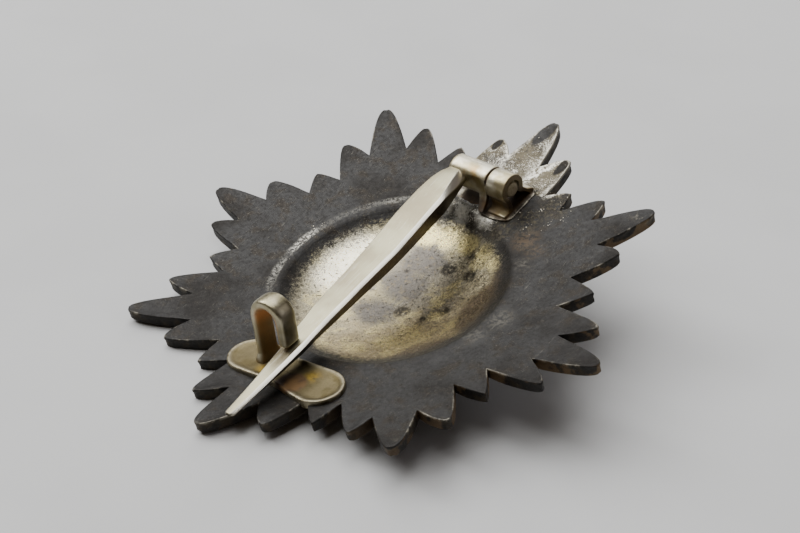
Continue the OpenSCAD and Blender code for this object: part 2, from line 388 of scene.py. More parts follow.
def round_corners(points: Sequence[Flat], radius: float | Sequence[float], steps: int = 4) -> np.ndarray:
    """Rounds the corners of a closed outline.

    Args:
        points: The outline's corners.
        radius: One radius for all the corners, or one for each.
        steps: Points put on each corner, less one.

    Returns:
        The rounded outline's points.
    """
    corners = np.asarray(points, float)
    size = len(corners)
    radii = [radius] * size if isinstance(radius, (int, float)) else list(radius)
    out = []
    for i, here in enumerate(corners):
        back, on = corners[i - 1] - here, corners[(i + 1) % size] - here
        reach = min(np.linalg.norm(back), np.linalg.norm(on)) * 0.48
        back, on = back / np.linalg.norm(back), on / np.linalg.norm(on)
        half = math.acos(float(np.clip(back @ on, -1, 1))) / 2
        cut = min(radii[i] / max(math.tan(half), 1e-3), reach)
        start, end = here + back * cut, here + on * cut
        for t in np.linspace(0, 1, steps + 1):
            out.append((1 - t) ** 2 * start + 2 * t * (1 - t) * here + t * t * end)
    return np.array(out)


def spread(points: np.ndarray, gap: float) -> np.ndarray:
    """Adds points to a closed outline so that none are further apart than a gap."""
    out = []
    for here, there in zip(points, np.roll(points, -1, axis=0)):
        parts = max(1, math.ceil(float(np.linalg.norm(there - here)) / gap))
        out.extend(here + (there - here) * k / parts for k in range(parts))
    return np.array(out)


def inward(points: np.ndarray) -> np.ndarray:
    """Unit directions into a closed flat outline, one for each point."""
    along = np.roll(points, -1, axis=0) - np.roll(points, 1, axis=0)
    side = np.stack([-along[:, 1], along[:, 0]], axis=1)
    side /= np.linalg.norm(side, axis=1, keepdims=True) + 1e-9
    x, y = points[:, 0], points[:, 1]
    area = float(np.sum(x * np.roll(y, -1) - np.roll(x, -1) * y))
    return side if area > 0 else -side


def slab(
    outline: np.ndarray,
    low: float | np.ndarray,
    high: float | np.ndarray,
    edge: float = 0.06,
    steps: int = 3,
) -> MeshData:
    """Makes a plate of a flat outline with rounded edges.

    Args:
        outline: Closed outline in the plate's plane.
        low: Height of its lower face, one number or one for each point.
        high: Height of its upper face.
        edge: Radius of the rounded edges.
        steps: Steps on each rounded edge.

    Returns:
        Points, with the height last, and faces.
    """
    into = inward(outline)
    rings = []
    quarter = [(k / steps) * math.pi / 2 for k in range(steps + 1)]
    plan = [(edge * 1.25, 0.0)] + [(edge * (1 - math.sin(a)), edge * (1 - math.cos(a))) for a in quarter]
    for inset, rise in plan:
        flat = outline + into * inset
        rings.append(np.column_stack([flat, np.broadcast_to(low, len(flat)) + rise]))
    for inset, rise in reversed(plan):
        flat = outline + into * inset
        rings.append(np.column_stack([flat, np.broadcast_to(high, len(flat)) - rise]))
    return skin(np.array(rings))


def arc(radius: float, degrees: Iterable[int]) -> list[Flat]:
    """Points on a circle about the origin, at angles in degrees."""
    return [(radius * math.cos(a), radius * math.sin(a)) for a in np.radians(list(degrees))]


def along_rivet(points: np.ndarray) -> np.ndarray:
    """Turns a plate drawn in the plane across the rivet, heights along it, into the hinge's frame."""
    return np.column_stack([points[:, 0], points[:, 2], points[:, 1]])


def lathe(profile: Sequence[Flat], steps: int = 96) -> MeshData:
    """Turns a closed profile about the rivet's axis.

    Args:
        profile: Place along the rivet and distance from its axis, one row for each corner.
        steps: Points around the axis.

    Returns:
        Points and faces in the hinge's frame.
    """
    turns = np.linspace(0, 2 * math.pi, steps, endpoint=False)
    size = len(profile)
    points = [(r * math.cos(a), y, r * math.sin(a)) for a in turns for y, r in profile]
    faces = []
    for k in range(steps):
        m = (k + 1) % steps
        for i in range(size):
            n = (i + 1) % size
            faces.append((k * size + i, k * size + n, m * size + n, m * size + i))
    return np.array(points), faces


def roughen(points: np.ndarray, heights: Sequence[tuple[float, float, float]]) -> np.ndarray:
    """Moves points a little, up and down and sideways, for metal worked by hand.

    Args:
        points: Points in millimetres.
        heights: Rows of bump size, height and seed.

    Returns:
        The moved points.
    """
    moved = points.copy()
    for size, height, seed in heights:
        for k in range(3):
            moved[:, k] += height * waves(points, size, seed + 9.7 * k, 1)
    return moved


# Star


@dataclass
class StarPlate:
    """The cast star: its back, the hollow of its boss, its walls and its plain ridged front."""

    form: StarForm = STAR
    flank_steps: int = 10
    inner_r: float = 16.5
    dish_rings: int = 62
    ray_rings: int = 26
    wall_rings: int = 7
    round_edge: float = 0.12
    front_rings: int = 12
    button_radii: tuple[float, ...] = (1.56, 1.5, 1.4, 1.25, 1.1, 0.95, 0.5, 0.1)
    # Heights of the slow waves and fast ripples on the back, and depth of its pits
    wave_up: float = 0.05
    ripple_up: float = 0.022
    pit_deep: float = 0.05
    # Depth of the shallow groove along the back of each ray, and fall of the front's ridges
    groove_deep: float = 0.09
    ridge_fall: float = 0.45
    # Wear of the lower edge, and the dents in the walls
    foot_wear: float = 0.1
    dent: float = 0.05
    # Middle and half size of the hinge's base, in the hinge's frame, and the solder round it
    base_mid: Flat = (-0.25, -1.08)
    base_half: Flat = (2.45, 3.85)
    solder_r: float = 0.8
    heap_x: float = 2.15
    heap_half: float = 1.0
    heap_up: float = 0.56

    def outline(self) -> tuple[np.ndarray, np.ndarray, np.ndarray]:
        """Traces the star's outline, clockwise from the left.

        Returns:
            Points, each point's ray number, and its direction towards the metal.
        """
        form = self.form
        points, owners, into = [], [], []
        for j in range(form.rays):
            length, turn = form.ray(j)[0], math.radians(form.ray_at(j))
            power = form.fullness[j % 4]
            for side, (r, a) in ((1, form.notch(j - 1)), (-1, form.notch(j))):
                nx, ny = r * math.cos(math.radians(a) - turn), r * math.sin(math.radians(a) - turn)
                steps = np.linspace(0, 1, self.flank_steps + 1)
                steps = steps[:-1] if side == 1 else steps[::-1][:-1]
                for u in steps:
                    s = 1 - (1 - u) ** 1.8
                    x, y = nx + (length - nx) * s, ny * (1 - s) ** power
                    lead = (length - nx) / abs(ny)
                    steep = 1 / math.hypot(1, lead)
                    tip = float(smoothstep(0.4, 0.0, abs(y)))
                    flank = Vector((-steep, -math.copysign(lead * steep, ny)))
                    if u == 0:
                        flank = Vector((-1.0, 0.0))
                    aim = (flank * (1 - tip) + Vector((-1.0, 0.0)) * tip).normalized() * (1 + 1.2 * tip)
                    spin = Matrix.Rotation(turn, 2)
                    points.append(spin @ Vector((x, y)))
                    into.append(spin @ aim)
                    owners.append(j)
        return np.array(points), np.array(owners), np.array(into)

    def lateral(self, flat: np.ndarray, owners: np.ndarray) -> np.ndarray:
        """Share of a ray's half width that a point lies from its middle line, 0 to 1."""
        form = self.form
        share = np.zeros(len(flat))
        for j in range(form.rays):
            mine = owners == j
            turn = math.radians(form.ray_at(j))
            r, a = form.notch(j)
            nx, ny = r * math.cos(math.radians(a) - turn), abs(r * math.sin(math.radians(a) - turn))
            x = flat[mine, 0] * math.cos(turn) + flat[mine, 1] * math.sin(turn)
            y = flat[mine, 1] * math.cos(turn) - flat[mine, 0] * math.sin(turn)
            s = np.clip((x - nx) / (form.ray(j)[0] - nx), 0, 0.995)
            share[mine] = np.clip(np.abs(y) / (ny * (1 - s) ** form.fullness[j % 4] + 0.02), 0, 1)
        return share

    def back(self, flat: np.ndarray, owners: np.ndarray | None = None) -> np.ndarray:
        """Heights of the back face.

        Args:
            flat: Places, x and y.
            owners: Ray number of each place, where the hollow along each ray is wanted.

        Returns:
            One height for each place.
        """
        form = self.form
        r = np.hypot(flat[:, 0], flat[:, 1])
        bowl = form.dish_floor + form.dish_depth * (np.minimum(r, form.dish_r) / form.dish_r) ** 2.8
        out = smoothstep(form.dish_r - 0.6, form.dish_r + 0.55, r)
        z = bowl * (1 - out) + form.back_z(r) * out
        here = np.column_stack([flat, np.zeros(len(flat))])
        rough = self.wave_up * waves(here, 3.6, 3.0) + self.ripple_up * waves(here, 1.1, 11.0)
        rim = smoothstep(1.6, 0.0, np.abs(r - form.dish_r - 0.7))
        z = z + rough * (0.75 + 0.5 * rim) - 0.04 + 0.035 * rim
        pits = waves(here, 0.55, 29.0, 1)
        z = z - self.pit_deep * smoothstep(0.52, 0.8, pits)
        if owners is not None:
            share = self.lateral(flat, owners)
            z = z - self.groove_deep * (1 - share**2) * smoothstep(17.0, 20.0, r)
        return z + self.solder(flat)

    def solder(self, flat: np.ndarray) -> np.ndarray:
        """Height of the solder heaped round the hinge's base, at each place."""
        inverse = HINGE.to_star().inverted()
        turn = np.array(inverse.to_3x3())[:2, :2]
        local = flat @ turn.T + np.array(inverse.translation)[:2]
        over = np.maximum(np.abs(local - self.base_mid) - self.base_half, 0)
        away = np.hypot(over[:, 0], over[:, 1])
        here = np.column_stack([flat, np.zeros(len(flat))])
        bumps = waves(here, 1.3, 5.0)
        heap = np.clip(1 - away / self.solder_r, 0, 1) ** 2 * (0.26 + 0.16 * bumps)
        # In front of the knuckle the heap runs over the base's edge
        ahead = (local[:, 0] - self.heap_x) / (self.heap_half + 0.25 * bumps)
        beside = smoothstep(-5.6, -4.6, local[:, 1]) * smoothstep(0.1, -0.9, local[:, 1])
        bank = np.sqrt(np.clip(1 - ahead**2, 0, 1)) * beside * (self.heap_up + 0.1 * bumps)
        return np.maximum(np.where(away > 0, heap, 0.1), bank)

    def front(self, flat: np.ndarray) -> np.ndarray:
        """Heights of the front: ridges and valleys outside the boss, then its dome and button."""
        form = self.form
        r = np.hypot(flat[:, 0], flat[:, 1])
        turn = np.degrees(np.arctan2(flat[:, 1], flat[:, 0]))
        start = form.boss_r - 0.4
        z = form.front_z(r)
        for j in range(form.rays):
            reach, a = form.notch(j)
            off = np.radians((turn - a + 180.0) % 360.0 - 180.0)
            near = np.abs(off) < 0.3
            fall = (float(form.back_z(reach)) - float(form.back_z(start))) / (reach - start)
            line = float(form.back_z(start)) - form.valley_t + (r * np.cos(off) - start) * fall
            z = np.where(near, np.maximum(z, line - self.ridge_fall * np.abs(r * np.sin(off))), z)
        drop = float(form.front_z(form.boss_r)) - form.boss_step - form.boss_apex
        dome_r = (form.boss_r**2 + drop**2) / (2 * drop)
        dome = form.boss_apex + dome_r - np.sqrt(dome_r**2 - np.minimum(r, form.boss_r) ** 2)
        z = np.where(r < form.boss_r, dome, z)
        button = form.button_mid - np.sqrt(np.maximum(form.button_r**2 - r**2, 0))
        return np.where(r < form.button_r, np.minimum(z, button), z)

    def build(self) -> bpy.types.Object:
        """Builds the plate as one closed mesh with marks for its walls, edges and front."""
        outline, owners, into = self.outline()
        turns = np.arctan2(outline[:, 1], outline[:, 0])
        rays = np.column_stack([np.cos(turns), np.sin(turns)])
        edge = self.round_edge
        inset = outline + into * edge
        rings, marks = [], {"wall": [], "edge": [], "front": [], "flank": []}

        def put(flat: np.ndarray, z: np.ndarray, **shares: np.ndarray | float) -> None:
            """Keeps one ring with its marks, 0 where none is given."""
            rings.append(np.column_stack([flat, z]))
            for key, kept in marks.items():
                kept.append(np.zeros(len(flat)) + shares.get(key, 0.0))

        for r in np.linspace(0.12, self.inner_r, self.dish_rings):
            put(rays * r, self.back(rays * r))
        for t in np.linspace(0, 1, self.ray_rings + 1)[1:]:
            t = 1 - (1 - t) ** 1.25
            flat = rays * self.inner_r * (1 - t) + inset * t
            flank = smoothstep(0.6, 0.96, self.lateral(flat, owners))
            flank *= smoothstep(15.5, 18.0, np.hypot(*flat.T))
            put(flat, self.back(flat, owners), edge=0.5 if t > 0.995 else 0.0, flank=flank)
        top = rings[-1][:, 2]
        for k in (1, 2, 3):
            a = k * math.pi / 6
            flat = outline + into * edge * (1 - math.sin(a))
            put(flat, top - edge * (1 - math.cos(a)), wall=k / 3, edge=1 - 0.15 * k)
        foot = self.front(outline + into * 0.02) + 0.02
        for t in np.linspace(0, 1, self.wall_rings + 1)[1:]:
            z = (top - edge) * (1 - t) + (foot + 0.08) * t
            here = np.column_stack([outline, z])
            dent = 0.03 + self.dent * np.abs(waves(here, 0.9, 17.0)) * math.sin(math.pi * min(t, 0.9))
            put(outline + into * dent[:, None] * min(t * 3, 1), z, wall=1.0)
        base = outline + into * self.foot_wear
        put(base, np.minimum(self.front(base), foot + 0.07), wall=0.6, edge=0.5, front=0.5)
        for t in np.linspace(0, 1, 13)[1:]:
            flat = base * (1 - t) + rays * self.inner_r * t
            put(flat, self.front(flat), front=1.0)
        boss = self.form.boss_r
        outer, dome = np.linspace(16.0, boss + 0.02, 10), np.linspace(boss - 0.02, 1.7, self.front_rings)
        for r in (*outer, *dome, *self.button_radii):
            put(rays * r, self.front(rays * r), front=1.0)
        points, faces = skin(np.array(rings))
        floor = np.array([(REST @ Vector(p))[2] for p in points])
        points[:, 2] += np.maximum(-floor, 0) / REST[2][2]
        made = make_object("star_cast", points, faces, marks={k: np.concatenate(v) for k, v in marks.items()})
        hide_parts("star_plate")
        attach(made, Body.BADGE.value)
        return made


# Hinge


@dataclass
class Bracket:
    """Soldered strip that stands on the star and folds over the rivet."""

    form: HingeForm = HINGE
    edge: float = 0.08
    front_leg: tuple[Flat, ...] = (
        (1.82, -2.7), (1.8, -2.2), (1.15, -2.12), (0.95, -1.9), (0.98, -1.5), (1.15, -0.9), (1.42, -0.4)
    )
    back_leg: tuple[Flat, ...] = (
        (-1.9, -1.2), (-2.65, -1.6), (-2.75, -1.75), (-2.72, -2.2), (-2.2, -2.2), (-2.15, -1.85),
        (-1.55, -1.3), (-0.95, -0.95),
    )
    leg_inside: tuple[Flat, ...] = ((0.95, -0.42), (0.62, -0.85), (0.5, -1.3), (0.42, -1.9), (0.45, -2.7))
    base: tuple[Flat, ...] = (
        (2.1, -4.3), (2.2, -0.2), (2.3, 0.7), (2.15, 1.6), (1.8, 2.5), (1.4, 2.85), (-2.3, 2.85),
        (-2.8, 2.4), (-2.8, -4.6), (-2.4, -5.0), (1.5, -4.9),
    )

    def strip(self) -> MeshData:
        """The folded strip, seen along the rivet as an arch on two legs."""
        form = self.form
        over = arc(form.barrel_r, range(0, 206, 6))
        under = arc(form.rivet_r + 0.02, range(226, -18, -8))
        corners = np.array([*self.front_leg, *over, *self.back_leg, *under, *self.leg_inside])
        outline = spread(round_corners(corners, 0.1, 2), 0.12)
        points, faces = slab(outline, form.side_gap / 2, form.bracket_len, self.edge)
        return roughen(along_rivet(points), ((1.6, 0.018, 1.0), (0.5, 0.006, 2.0))), faces

    def foot(self) -> MeshData:
        """The base strip, its lower face bent to the star's back."""
        form = self.form
        outline = spread(round_corners(self.base, 0.35, 4), 0.2)
        points, faces = slab(outline, -0.25, form.base_t, 0.1)
        lean = math.asin(form.far / STAR.back_r)
        turn = Matrix.Translation((0, 0, -form.barrel_up)) @ Matrix.Rotation(lean, 4, "Y")
        points = np.array([turn @ Vector(p) for p in roughen(points, ((1.2, 0.03, 4.0), (0.4, 0.008, 6.0)))])
        return points, faces

    def build(self, look: bpy.types.Material, below: bpy.types.Material) -> list[bpy.types.Object]:
        """Builds both strips.

        Args:
            look: The folded strip's finish.
            below: The base strip's finish.

        Returns:
            The two objects.
        """
        made = []
        for name, (points, faces), finish in (
            ("bracket_strip", self.strip(), look),
            ("bracket_base", self.foot(), below),
        ):
            piece = make_object(name, points, faces, self.form.frame())
            piece.data.materials.append(finish)
            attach(piece, Body.BADGE.value)
            made.append(piece)
        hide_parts("hinge_bracket")
        return made


@dataclass
class Rivet:
    """The rivet, its end hammered flat in the bracket and headed at the far end of the barrel."""

    form: HingeForm = HINGE
    groove: float = 0.12
    off_middle: Flat = (0.03, -0.035)

    def build(self, look: bpy.types.Material) -> bpy.types.Object:
        """Builds the rivet.

        Args:
            look: Its finish.

        Returns:
            The object.
        """
        form = self.form
        near, far, r = form.bracket_len - 0.02, -form.pin_len - 0.05, form.rivet_r
        head, end = r + 0.3, r - self.groove
        profile = [
            (near - 0.03, 0.0), (near, end * 0.35), (near - 0.005, end * 0.75), (near - 0.03, end * 0.95),
            (near - 0.09, end), (near - 0.3, end), (near - 0.32, r), (far, r), (far, head),
            (far - 0.06, head - 0.01), (far - 0.15, head - 0.1), (far - form.head_t, head - 0.3),
            (far - form.head_t, 0.0),
        ]
        points, faces = lathe(profile)
        points = roughen(points, ((0.9, 0.008, 21.0),))
        shown = (points[:, 1] > form.bracket_len - 0.33)[:, None]
        points[:, [0, 2]] += np.where(shown, self.off_middle, 0.0)
        made = make_object("rivet_turned", points, faces, form.frame())
        made.data.materials.append(look)
        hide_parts("hinge_rivet")
        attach(made, Body.BADGE.value)
        return made


@dataclass
class PinBlade:
    """Flat tapering blade with filed bevels, its knuckle and its tail."""

    form: HingeForm = HINGE
    length: float = 36.2
    bevel: float = 0.28
    # More width of the right bevel past the root, and how far the tip swerves right
    broad: float = 0.14
    swerve: float = 0.4
    stations: int = 130
    # Distances of the last sections from the tip
    tip_rings: tuple[float, ...] = (0.2, 0.1, 0.04, 0.0)
    # Distance along the blade, top, flat to the left, flat to the right, thickness
    rows: tuple[tuple[float, float, float, float, float], ...] = (
        (0.2, 0.95, 0.6, 0.9, 1.0), (1, 1.1, 0.8, 1.0, 1.15), (1.7, 1.18, 1.1, 1.12, 1.3),
        (3, 1.19, 1.38, 1.22, 1.55), (5, 1.13, 1.52, 1.34, 1.85), (8.5, 0.95, 1.52, 1.42, 1.75),
        (13, 0.52, 1.42, 1.34, 1.55), (17, 0.42, 1.2, 1.2, 1.45), (22, 0.32, 1.1, 1.1, 1.35),
        (26.5, 0, 0.82, 0.82, 1.15), (31, -0.08, 0.55, 0.55, 0.85), (36.2, -0.1, 0.3, 0.3, 0.5),
    )
    tail_side: tuple[Flat, ...] = (
        (0.95, 1.05), (1.12, 0.98), (1.15, 0.2), (1.2, -0.5), (1.35, -1.0), (1.65, -1.5), (2.1, -1.95),
        (2.38, -2.15), (2.3, -2.34), (2.0, -2.3), (1.55, -2.0), (1.2, -1.6), (1.0, -1.15), (0.95, -0.8),
    )
    filed: float = 1.12
    filed_len: float = 2.9
    # Height and left edge of the tail along the rivet
    tail_left: tuple[Flat, ...] = (
        (-2.4, -0.3), (-1.95, -0.8), (-1.3, -0.98), (-0.75, -1.15), (-0.3, -1.6), (-0.1, -2.2), (0.2, -2.6)
    )

    def section(self, x: float, top: float, left: float, right: float, deep: float) -> np.ndarray:
        """One rounded section across the blade, y and z."""
        b, foot, skirt = self.bevel, top - deep, self.bevel * 0.6
        root = float(smoothstep(5.5, 1.2, x))
        cut = 0.5 * root
        wide = self.broad * (1 - root) * float(smoothstep(self.length, 30.0, x) * 0.6 + 0.4)
        under = skirt - 0.3 * float(smoothstep(14.0, 26.0, x))
        off = self.swerve * float(smoothstep(20.0, 36.0, x))
        corners = [
            (-left, top), (0.0, top + 0.004), (right - cut - 0.4 * wide, top),
            (right + b + 0.6 * wide, top - b * (1 - 0.3 * (1 - root)) - 0.75 * cut),
            (right + under, foot), (-left - skirt, foot), (-left - b, top - b),
        ]
        corners = [(y + off, z) for y, z in corners]
        small, soft = 0.05, 0.05 + 0.3 * root
        return round_corners(corners, (small, small, soft, soft * 1.4, 0.18, 0.18, small * 1.4), 4)

    def blade(self) -> tuple[np.ndarray, Faces, dict[str, np.ndarray]]:
        """The blade from just inside the barrel to its rounded tip, with marks for sides and bevels."""
        rows = np.array(self.rows)
        fine = np.linspace(rows[0, 0], self.length, 400)
        table = np.column_stack([np.interp(fine, rows[:, 0], rows[:, k]) for k in range(1, 5)])
        kernel = np.hanning(13)[1:-1]
        padded = np.pad(table, ((5, 5), (0, 0)), mode="edge")
        table = np.column_stack([np.convolve(padded[:, k], kernel / kernel.sum(), "valid") for k in range(4)])
        rings = []
        body = np.linspace(0.55, self.length - 0.35, self.stations)
        for x in (*body, *(self.length - np.array(self.tip_rings))):
            top, left, right, deep = (float(np.interp(x, fine, table[:, k])) for k in range(4))
            end = math.sqrt(max(0.0, 1 - max(0.0, (x - self.length + 0.3) / 0.3) ** 2 * 0.75))
            ring = self.section(x, top, left * end, right * end, deep * (0.5 + 0.5 * end))
            rings.append(np.column_stack([np.full(len(ring), x), ring]))
        points, faces = skin(np.array(rings))
        up, down = np.linspace(0, 1, 5), np.linspace(1, 0, 5)
        flat, full = np.zeros(5), np.ones(5)
        side = np.concatenate([flat, flat, flat, up, full, full, down])
        bevel = np.concatenate([down, flat, up, down, flat, flat, up])
        marks = {"side": np.tile(side, len(rings)), "bevel": np.tile(bevel, len(rings))}
        # Painted shade: the side's mark, and so its dark colour, fades towards the root, where the side turns
        # up to the light
        marks["side"] *= 0.45 + 0.55 * smoothstep(2.5, 6.5, points[:, 0])
        return roughen(points, ((2.5, 0.02, 31.0), (0.7, 0.005, 37.0))), faces, marks

    def barrel(self) -> MeshData:
        """The knuckle, a tube bent from the blade's own strip."""
        form = self.form
        low, high, r, bore = -form.pin_len, -form.side_gap / 2, form.barrel_r, form.rivet_r + form.clearance
        span = [(y, r) for y in np.linspace(low + 0.15, high - 0.12, 26)]
        profile = [
            (low + 0.05, bore), (low, bore + 0.06), (low, r - 0.16), (low + 0.05, r - 0.05), *span,
            (high - 0.04, r - 0.03), (high, r - 0.1), (high, bore + 0.05), (high - 0.05, bore),
        ]
        points, faces = lathe(profile)
        rough = roughen(points, ((1.8, 0.022, 41.0), (0.6, 0.006, 43.0)))
        outer = (np.hypot(points[:, 0], points[:, 2]) > bore + 0.1)[:, None]
        points = np.where(outer, rough, points)
        along = (points[:, 1] + self.filed_len / 2) / (self.filed_len / 2)
        flat = self.filed + 0.14 * np.clip(np.abs(along), 0, 1.6) ** 3
        points[:, 0] = np.minimum(points[:, 0], np.where(points[:, 1] > -self.filed_len - 0.3, flat, 9.0))
        return points, faces

    def tail(self) -> MeshData:
        """The narrow leg beside the gap, arched into the barrel."""
        outline = spread(round_corners(self.tail_side, 0.1, 2), 0.1)
        left = np.array(self.tail_left)
        low = np.interp(outline[:, 1], left[:, 0], left[:, 1])
        points, faces = slab(outline, low, np.full(len(outline), -self.form.side_gap / 2 - 0.01), 0.06)
        return roughen(along_rivet(points), ((1.0, 0.012, 51.0),)), faces

    def build(self, look: bpy.types.Material, knuckle: bpy.types.Material) -> list[bpy.types.Object]:
        """Builds the blade, its knuckle and its tail.

        Args:
            look: Finish of the blade.
            knuckle: Finish of the knuckle and tail.

        Returns:
            The three objects.
        """
        parts = (
            ("blade_filed", self.blade(), self.form.blade_frame(), look),
            ("knuckle_tube", (*self.barrel(), None), self.form.frame(), knuckle),
            ("knuckle_tail", (*self.tail(), None), self.form.frame(), knuckle),
        )
        made = []
        for name, (points, faces, marks), place, finish in parts:
            piece = make_object(name, points, faces, place, marks)
            piece.data.materials.append(finish)
            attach(piece, Body.PIN.value)
            made.append(piece)
        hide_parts("pin_blade")
        return made


# Catch


@dataclass
class Catch:
    """Hook bent from a thick strip, soldered on a foot with two lobes."""

    form: CatchForm = CATCH
    # Points around the strip, and how flat its faces are: 1 is an ellipse, 0 a rectangle
    around: int = 40
    flatness: float = 0.62
    # How much wider the strip is at its foot
    flare: float = 0.3
    # The foot's raised rim, as share of the way out and depth below its top, and its floor
    foot_rim: tuple[Flat, ...] = (
        (1.0, 0.2), (0.99, 0.1), (0.97, 0.03), (0.94, 0.0), (0.9, 0.0), (0.85, 0.03), (0.78, 0.09)
    )
    foot_floor: tuple[float, ...] = (0.68, 0.55, 0.42, 0.3, 0.2, 0.1, 0.03)

    def hook(self) -> tuple[np.ndarray, Faces, dict[str, np.ndarray]]:
        """The strip: up from the foot, round the bend and down to its free end, with painted shade in soot
        colours inside.
        """
        f = self.form
        mid_r = f.hook_in + f.strip_t / 2
        mid_up = f.hook_up - f.hook_in - f.strip_t
        path = [(-mid_r, z, 180.0) for z in np.linspace(0.2, mid_up, 26)[:-1]]
        bend = range(180, -1, -6)
        path += [(y, mid_up + z, float(turn)) for (y, z), turn in zip(arc(mid_r, bend), bend)]
        path += [(mid_r, z, 0.0) for z in np.linspace(mid_up, f.lip_up + 0.2, 16)[1:]]
        path += [(mid_r, f.lip_up + d, 0.0) for d in (0.1, 0.04, 0.0)]
        rings = []
        for y, z, turn in path:
            ends = 1.0
            if turn == 0.0 and z < f.lip_up + 0.15:
                ends = 0.75 + 0.25 * math.sqrt(max(0.0, 1 - (1 - (z - f.lip_up) / 0.2) ** 2))
            flare = 1 + self.flare * float(smoothstep(1.3, 0.45, z)) if turn == 180.0 else 1.0
            half_w, half_t = f.strip_w / 2 * ends * flare, f.strip_t / 2 * ends * flare
            turns = np.linspace(-math.pi, math.pi, self.around, endpoint=False)
            wide, thick = np.cos(turns), np.sin(turns)
            ring = [
                (half_t * np.sign(t) * abs(t) ** self.flatness, half_w * np.sign(w) * abs(w) ** self.flatness)
                for w, t in zip(wide, thick)
            ]
            a = math.radians(turn)
            rings.append([
                (f.hook_near - f.strip_w / 2 + w, f.hook_mid_y + y + t * math.cos(a), z + t * math.sin(a))
                for t, w in ring
            ])
        points, faces = skin(np.array(rings))
        # Painted shade: marks the inside of the strip under the bend for soot colours
        inside = np.clip(-np.sin(np.linspace(-math.pi, math.pi, self.around, endpoint=False)) * 1.8, 0, 1)
        under = smoothstep(f.hook_up + 0.5, f.hook_up - 2.2, points[:, 2])
        marks = {"soot": np.tile(inside, len(rings)) * under}
        return roughen(points, ((1.7, 0.03, 61.0), (0.6, 0.01, 63.0))), faces, marks

    def foot(self) -> tuple[np.ndarray, Faces, dict[str, np.ndarray]]:
        """The foot: two dished lobes with raised rims and a waist."""
        f = self.form
        at = f.foot_len / 2 - f.lobe_r
        half = []
        waist, lobe_end = np.linspace(0, at, 26)[:-1], np.sin(np.linspace(0, math.pi / 2, 26))
        for y in (*waist, *(at + f.lobe_r * lobe_end)):
            lobe = math.sqrt(max(0.0, f.lobe_r**2 - (y - at) ** 2)) if y > at - f.lobe_r else 0.0
            neck = f.waist + (f.lobe_r - f.waist) * float(smoothstep(0.0, at, y)) if y < at else 0.0
            half.append((max(lobe, neck), y))
        loop = half + [(-x, y) for x, y in reversed(half[:-1])]
        loop += [(-x, -y) for x, y in half[1:]] + [(x, -y) for x, y in reversed(half[1:-1])]
        outline = np.array(loop)
        heart = np.column_stack([np.zeros(len(outline)), np.clip(outline[:, 1], -at, at)])
        # Share of the way from the foot's middle line to its edge, and height
        plan = [(1.0, -0.3)]
        plan += [(t, f.foot_t - low) for t, low in self.foot_rim]
        plan += [(t, f.foot_t - 0.12 - 0.02 * (0.7 - t)) for t in self.foot_floor]
        rings = []
        for t, z in plan:
            flat = heart + (outline - heart) * t
            rings.append(np.column_stack([flat, np.full(len(flat), z)]))
        points, faces = skin(np.array(rings))
        points = roughen(points, ((2.2, 0.05, 71.0), (0.7, 0.015, 73.0)))
        turn = math.radians(f.foot_turn)
        x, y = points[:, 0] + f.foot_far, points[:, 1] + f.foot_side
        points[:, 0] = x * math.cos(turn) - y * math.sin(turn)
        points[:, 1] = x * math.sin(turn) + y * math.cos(turn)
        rim = np.array([float(smoothstep(0.8, 0.92, t)) for t, _ in plan])
        return points, faces, {"rim": np.repeat(rim, len(outline))}

    def build(self, look: bpy.types.Material, below: bpy.types.Material) -> list[bpy.types.Object]:
        """Builds the hook and the foot.

        Args:
            look: The hook's finish.
            below: The foot's finish.

        Returns:
            The two objects.
        """
        made = []
        for name, (points, faces, marks), finish in (
            ("catch_hook", self.hook(), look),
            ("catch_foot", self.foot(), below),
        ):
            piece = make_object(name, points, faces, self.form.frame(), marks)
            piece.data.materials.append(finish)
            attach(piece, Body.BADGE.value)
            made.append(piece)
        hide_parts("catch")
        return made


# Nodes

Socket = bpy.types.NodeSocket
# What an input takes: a link, a number, hex digits or the numbers of a colour or place
Value = Socket | float | str | Sequence[float]


def linear(hex_colour: str) -> tuple[float, float, float, float]:
    """Turns an sRGB hex colour into linear light.

    Args:
        hex_colour: Six hex digits.

    Returns:
        Red, green, blue and an alpha of 1.
    """
    parts = [int(hex_colour[i : i + 2], 16) / 255 for i in (0, 2, 4)]
    red, green, blue = (c / 12.92 if c <= 0.04045 else ((c + 0.055) / 1.055) ** 2.4 for c in parts)
    return red, green, blue, 1.0


def add_node(
    tree: bpy.types.NodeTree,
    kind: str,
    settings: dict[str, object] | None = None,
    links: dict[int | str, object] | None = None,
) -> bpy.types.Node:
    """Adds a node with its settings and links.

    Args:
        tree: The tree that it joins.
        kind: The node's type, such as ShaderNodeMix.
        settings: Attributes set on the node before its inputs.
        links: What goes to each input, by its name or number. A socket is linked, hex digits on
            a colour are turned to linear light, and anything else is set as the value.

    Returns:
        The new node.
    """
    node = tree.nodes.new(kind)
    for key, value in (settings or {}).items():
        setattr(node, key, value)
    for key, value in (links or {}).items():
        socket = node.inputs[key]
        if isinstance(value, Socket):
            tree.links.new(value, socket)
        elif isinstance(value, str) and socket.type == "RGBA":
            socket.default_value = linear(value)
        else:
            socket.default_value = value
    return node


# Solder grains


